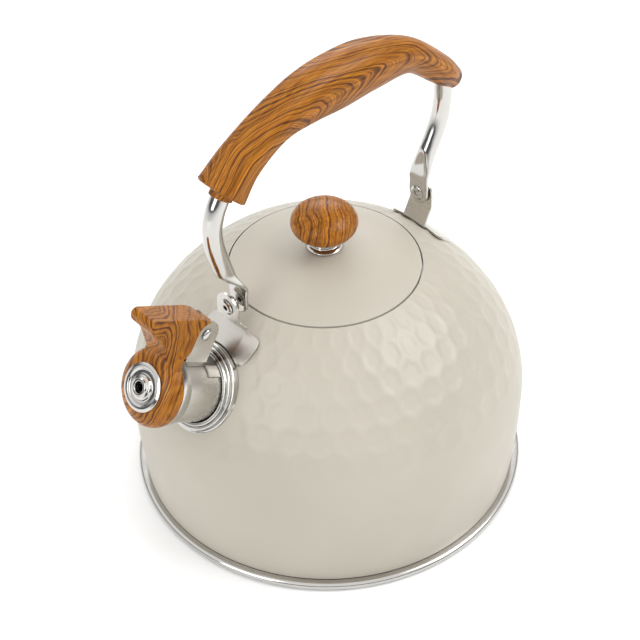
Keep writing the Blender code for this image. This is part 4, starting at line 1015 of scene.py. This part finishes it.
for vertex in grip.data.vertices:
    offset = line - np.array((vertex.co.x, vertex.co.z))
    near = int(np.argmin((offset ** 2).sum(axis=1)))
    tangent = directions[near]
    relative = np.array((vertex.co.x, vertex.co.z)) - line[near]
    upward = np.array((tangent[1], -tangent[0]))
    upward = upward if upward[1] > 0 else -upward
    vectors.append((travelled[near] + relative @ tangent, vertex.co.y, relative @ upward))
store_grain(grip, vectors)
dress(grip, wood_grip, "handle", "wood_film", "grip")

# %% [markdown]
# ## Whistle cap
#
# The cap is one moulding: a round front, a thumb lever above it and a neck between them. Its
# parts blend without a crease, so they are merged on a fine grid and smoothed before the slots
# for the two hinge ears are cut.

# %% Cap moulding
reach = CAP_RADIUS - CAP_FLAT
depth = CAP_FRONT - CAP_EDGE
quarter = arc((0.0, 0.0), 1.0, math.pi / 2, 0.0, 24)
disc_front = [(CAP_FLAT + reach * x, CAP_EDGE + depth * y) for x, y in quarter]
disc = lathe("cap_disc", [(0.0, CAP_FRONT)] + disc_front + [(CAP_RADIUS, CAP_REAR), (0.0, CAP_REAR)], FINE,
             spout_place())
lever_low = LEVER_TOP - 1.9 * MM - 6.6 * MM
lever = extrude("cap_lever", soften([
    (EAR_END + 2 * EAR_NOTCH, 20.2 * MM, 0.0),
    (CAP_REAR + GAP, 20.2 * MM, 0.0),
    (CAP_REAR + GAP, 14.0 * MM, 0.0),
    (CAP_FRONT - 1.2 * MM, 14.0 * MM, 0.0),
    (CAP_FRONT - 0.8 * MM, CAP_RADIUS - 2.0 * MM, 6.0 * MM),
    (LEVER_TIP - 10.0 * MM, lever_low - 4.0 * MM, 14.0 * MM),
    (LEVER_TIP - 1.8 * MM, lever_low, 3.0 * MM),
    (LEVER_TIP, lever_low + 3.2 * MM, 2.2 * MM),
    (LEVER_TIP - 1.0 * MM, LEVER_TOP - 1.9 * MM, 2.8 * MM),
    (EAR_END, LEVER_TOP, 8.0 * MM),
    (LEVER_REAR, LEVER_TOP - 1.0 * MM, 1.4 * MM),
    (LEVER_REAR, 33.0 * MM, 0.0)], 8), LEVER_HALF, side_place(), 2.6 * MM, 5)
neck_bend = (CAP_RADIUS + 7.5 * MM, LEVER_HALF + 7.2 * MM)
neck_right = arc(neck_bend, 8.0 * MM, -math.pi / 2, -math.pi / 2 - 1.0, 14)
neck_right.append((12.5 * MM, 12.5 * MM))
neck_outline = neck_right + [(x, -y) for x, y in reversed(neck_right)]
neck_middle = (CAP_REAR + CAP_FRONT - 3.0 * MM) / 2
neck_half = (CAP_FRONT - 3.0 * MM - CAP_REAR) / 2
neck_piece = extrude("cap_neck", neck_outline, neck_half,
                     spout_place(neck_middle) @ Matrix.Rotation(math.pi, 4, "Z"), 1.2 * MM, 3)
tongue = extrude("cap_tongue", soften([
    (EAR_END + 6.0 * MM, 22.6 * MM, 0.0),
    (EAR_END + 6.0 * MM, LEVER_TOP - 1.2 * MM, 0.0),
    (LEVER_REAR + GAP, LEVER_TOP - 1.8 * MM, 2.0 * MM),
    (EAR_START + 0.3 * MM, PIN_HEIGHT + 5.5 * MM, 5.0 * MM),
    (EAR_START + 0.3 * MM, PIN_HEIGHT - 5.0 * MM, 4.5 * MM),
    (PIN_ALONG, PIN_HEIGHT - 8.2 * MM, 3.0 * MM)], 6), TONGUE_HALF - 0.1 * MM, side_place())
for other in (lever, neck_piece, tongue):
    disc = cut(disc, other, "UNION")
step = disc.modifiers.new("blend", "REMESH")
step.mode = "VOXEL"
step.voxel_size = 0.42 * MM
step = disc.modifiers.new("smooth", "SMOOTH")
step.factor = 0.5
step.iterations = 14
cap = bake(disc, "cap_moulding_film")
black, tree, shader = new_material("bare_black_moulding")
shader.inputs["Base Color"].default_value = (0.012, 0.011, 0.010, 1.0)
shader.inputs["Roughness"].default_value = 0.55
cap.data.materials.clear()
cap.data.materials.append(wood_cap)
cap.data.polygons.foreach_set("material_index", [0] * len(cap.data.polygons))
recess = lathe("liner_recess", [(0.0, 60.0 * MM), (STEM_RADIUS + GAP, 60.0 * MM),
                                (STEM_RADIUS + GAP, LINER_SEAT + GAP), (LINER_RADIUS + GAP, LINER_SEAT + GAP),
                                (LINER_RADIUS + GAP, 20.0 * MM), (0.0, 20.0 * MM)], MEDIUM, spout_place())
recess.data.materials.append(black)
cap = cut(cap, recess)
ear_low = 17.6 * MM - EAR_NOTCH
for side in (1.0, -1.0):
    crown = arc((PIN_ALONG, PIN_HEIGHT), EAR_HALF_WIDTH + EAR_NOTCH, 0.0, math.pi, 24)
    outline = crown + [(EAR_START - 6.0 * MM, ear_low), (EAR_END + 1.6 * EAR_NOTCH, ear_low)]
    notch = extrude("ear_notch", outline, 5.0 * MM, side_place(side * (TONGUE_HALF + 5.0 * MM)))
    notch.data.materials.append(black)
    cap = cut(cap, notch)
cap.name = "cap_moulding_film"
cap.data.shade_smooth()
cap.data.set_sharp_from_angle(angle=math.radians(45.0))
store_grain(cap, [((v.co - SPOUT_ROOT).dot(along_spout), v.co.y, (v.co - SPOUT_ROOT).dot(above_spout))
                  for v in cap.data.vertices])
dress(cap, None, "cap", "wood_film", "cap_moulding")

# %% [markdown]
# ## Whistle
#
# Steam leaves through the hole in the middle of the bright disc. Behind the moulding sit the liner
# that shuts on the spout and the small chamber where the steam starts to sing.

# %% Liner, bezel and chamber
liner = lathe("cap_liner_ring", soften([
    (LINER_RADIUS, LINER_SEAT, 0.3 * MM), (LINER_RADIUS, LINER_REAR, 0.3 * MM),
    (LINER_RADIUS - LINER_WALL, LINER_REAR, 0.3 * MM), (LINER_RADIUS - LINER_WALL, LINER_SEAT - LINER_WALL),
    (STEM_RADIUS + GAP, LINER_SEAT - LINER_WALL), (STEM_RADIUS + GAP, LINER_SEAT)], 4), FINE, spout_place())
dress(liner, polished, "cap", "polished_steel", "cap_liner")
stem_end = LINER_SEAT - LINER_WALL - GAP
stem_inner = STEM_RADIUS - 0.8 * MM
flange_rear = CAP_FRONT + GAP
bezel_profile = soften([
    (WHISTLE_HOLE, BOSS_FACE - 1.2 * MM, 0.1 * MM),
    (WHISTLE_HOLE + 0.4 * MM, BOSS_FACE, 0.4 * MM),
    (4.3 * MM, BOSS_FACE, 0.5 * MM),
    (4.9 * MM, BOSS_FACE - 1.0 * MM, 0.5 * MM),
    (6.3 * MM, BOSS_FACE - 1.3 * MM, 0.6 * MM),
    (7.0 * MM, BEZEL_FACE - 0.85 * MM, 0.6 * MM),
    (9.0 * MM, BEZEL_FACE - 0.95 * MM, 0.6 * MM),
    (9.8 * MM, BEZEL_FACE - 0.15 * MM, 0.5 * MM),
    (11.0 * MM, BEZEL_FACE, 0.8 * MM),
    (BEZEL_RADIUS, BEZEL_FACE - 0.5 * MM, 0.4 * MM),
    (BEZEL_RADIUS, flange_rear, 0.1 * MM),
    (STEM_RADIUS, flange_rear), (STEM_RADIUS, stem_end), (stem_inner, stem_end),
    (stem_inner, flange_rear - 0.7 * MM), (WHISTLE_HOLE, flange_rear - 0.7 * MM)], 6)
bezel = lathe("whistle_bezel_disc", bezel_profile, MEDIUM + 32, spout_place(), angle=28.0)
dress(bezel, polished, "cap", "polished_steel", "whistle_bezel")
low_s = 25.0 * MM
top_s = stem_end - GAP
chamber = lathe("whistle_chamber_cup", soften([
    (11.5 * MM, top_s, 0.4 * MM), (11.5 * MM, low_s, 0.8 * MM), (WHISTLE_HOLE, low_s, 0.1 * MM),
    (WHISTLE_HOLE, low_s + 0.7 * MM), (10.8 * MM, low_s + 0.7 * MM, 0.5 * MM),
    (10.8 * MM, top_s - 0.7 * MM, 0.3 * MM), (stem_inner, top_s - 0.7 * MM), (stem_inner, top_s)], 4),
    MEDIUM, spout_place())
dress(chamber, polished, "cap", "polished_steel", "whistle_chamber")

# %% [markdown]
# ## Pieces kept from the CAD
#
# Small pieces that are hidden in normal use keep their CAD mesh. They still get a real finish, so
# that they look right once the lid is lifted or the cap is open.

# %% Finish the CAD nodes that stay
for node, material, slot in (("heat_disc", aluminium, "aluminium"), ("cap_spring", spring, "spring_steel"),
                             ("whistle_plate", brushed, "brushed_steel"), ("lid_collar", satin, "brushed_steel"),
                             ("knob_screw", polished, "polished_steel")):
    nodes[node].data.materials.clear()
    nodes[node].data.materials.append(material)
print("kept nodes finished")

# %% [markdown]
# ## Floor, light and camera
#
# The stage is a plain pale floor under a bright room. Polished steel shows only what is around it,
# so the room has a few long soft lights and a darker band that gives the metal its contrast.

# %% Stage
floor_mesh = bpy.data.meshes.new("floor")
reach = 4.0
corners = [(-reach, -reach, 0.0), (reach, -reach, 0.0), (reach, reach, 0.0), (-reach, reach, 0.0)]
floor_mesh.from_pydata(corners, [], [(0, 1, 2, 3)])
floor = add_object("floor", floor_mesh)
floor_material, tree, shader = new_material("pale_floor")
shader.inputs["Base Color"].default_value = (0.93, 0.93, 0.93, 1.0)
shader.inputs["Roughness"].default_value = 0.75
floor.data.materials.append(floor_material)

world = bpy.data.worlds.new("studio")
bpy.context.scene.world = world
world.use_nodes = True
sky = Tree(world.node_tree)
background = world.node_tree.nodes["Background"]
up = sky.add("ShaderNodeSeparateXYZ", Vector=sky.add("ShaderNodeTexCoord").outputs["Generated"]).outputs[2]
sky_colour = sky.ramp(sky.span(up, -1.0, 1.0, 0.0, 1.0), [
    (0.0, (0.80, 0.80, 0.80, 1.0)),
    (0.50, (0.70, 0.70, 0.71, 1.0)),
    (0.54, (0.10, 0.10, 0.11, 1.0)),
    (0.62, (0.16, 0.16, 0.17, 1.0)),
    (0.70, (0.95, 0.95, 0.95, 1.0)),
    (1.0, (1.0, 1.0, 1.0, 1.0))])
sky.feed(background, "Color", sky_colour)
sky.feed(background, "Strength", 1.15)
bpy.context.scene.view_settings.view_transform = "Standard"


def soft_light(name, place, target, size, watts):
    data = bpy.data.lights.new(name, "AREA")
    data.shape = "RECTANGLE"
    data.size, data.size_y = size
    data.energy = watts
    obj = bpy.data.objects.new(name, data)
    bpy.context.scene.collection.objects.link(obj)
    obj.location = place
    obj.rotation_euler = (Vector(target) - Vector(place)).to_track_quat("-Z", "Y").to_euler()
    return obj


middle = (0.0, 0.0, 0.10)
soft_light("key", (-0.7, 0.9, 1.3), middle, (0.9, 0.9), 13.0)
soft_light("fill", (1.3, 0.1, 0.8), middle, (0.7, 0.9), 6.0)
soft_light("back", (-0.9, -1.0, 0.9), middle, (1.0, 0.6), 7.0)

# %% Camera
camera_data = bpy.data.cameras.new("camera")
camera_data.lens = 93.56
camera_data.sensor_width = 36.0
camera = bpy.data.objects.new("camera", camera_data)
bpy.context.scene.collection.objects.link(camera)
right = Vector((-0.73332, 0.67963, -0.01842))
upward = Vector((-0.46273, -0.47908, 0.74590))
back = Vector((0.49811, 0.55550, 0.66581))
turn = Matrix((right, upward, back)).transposed()
camera.matrix_world = Matrix.Translation((0.45351, 0.50069, 0.69945)) @ turn.to_4x4()
bpy.context.scene.camera = camera
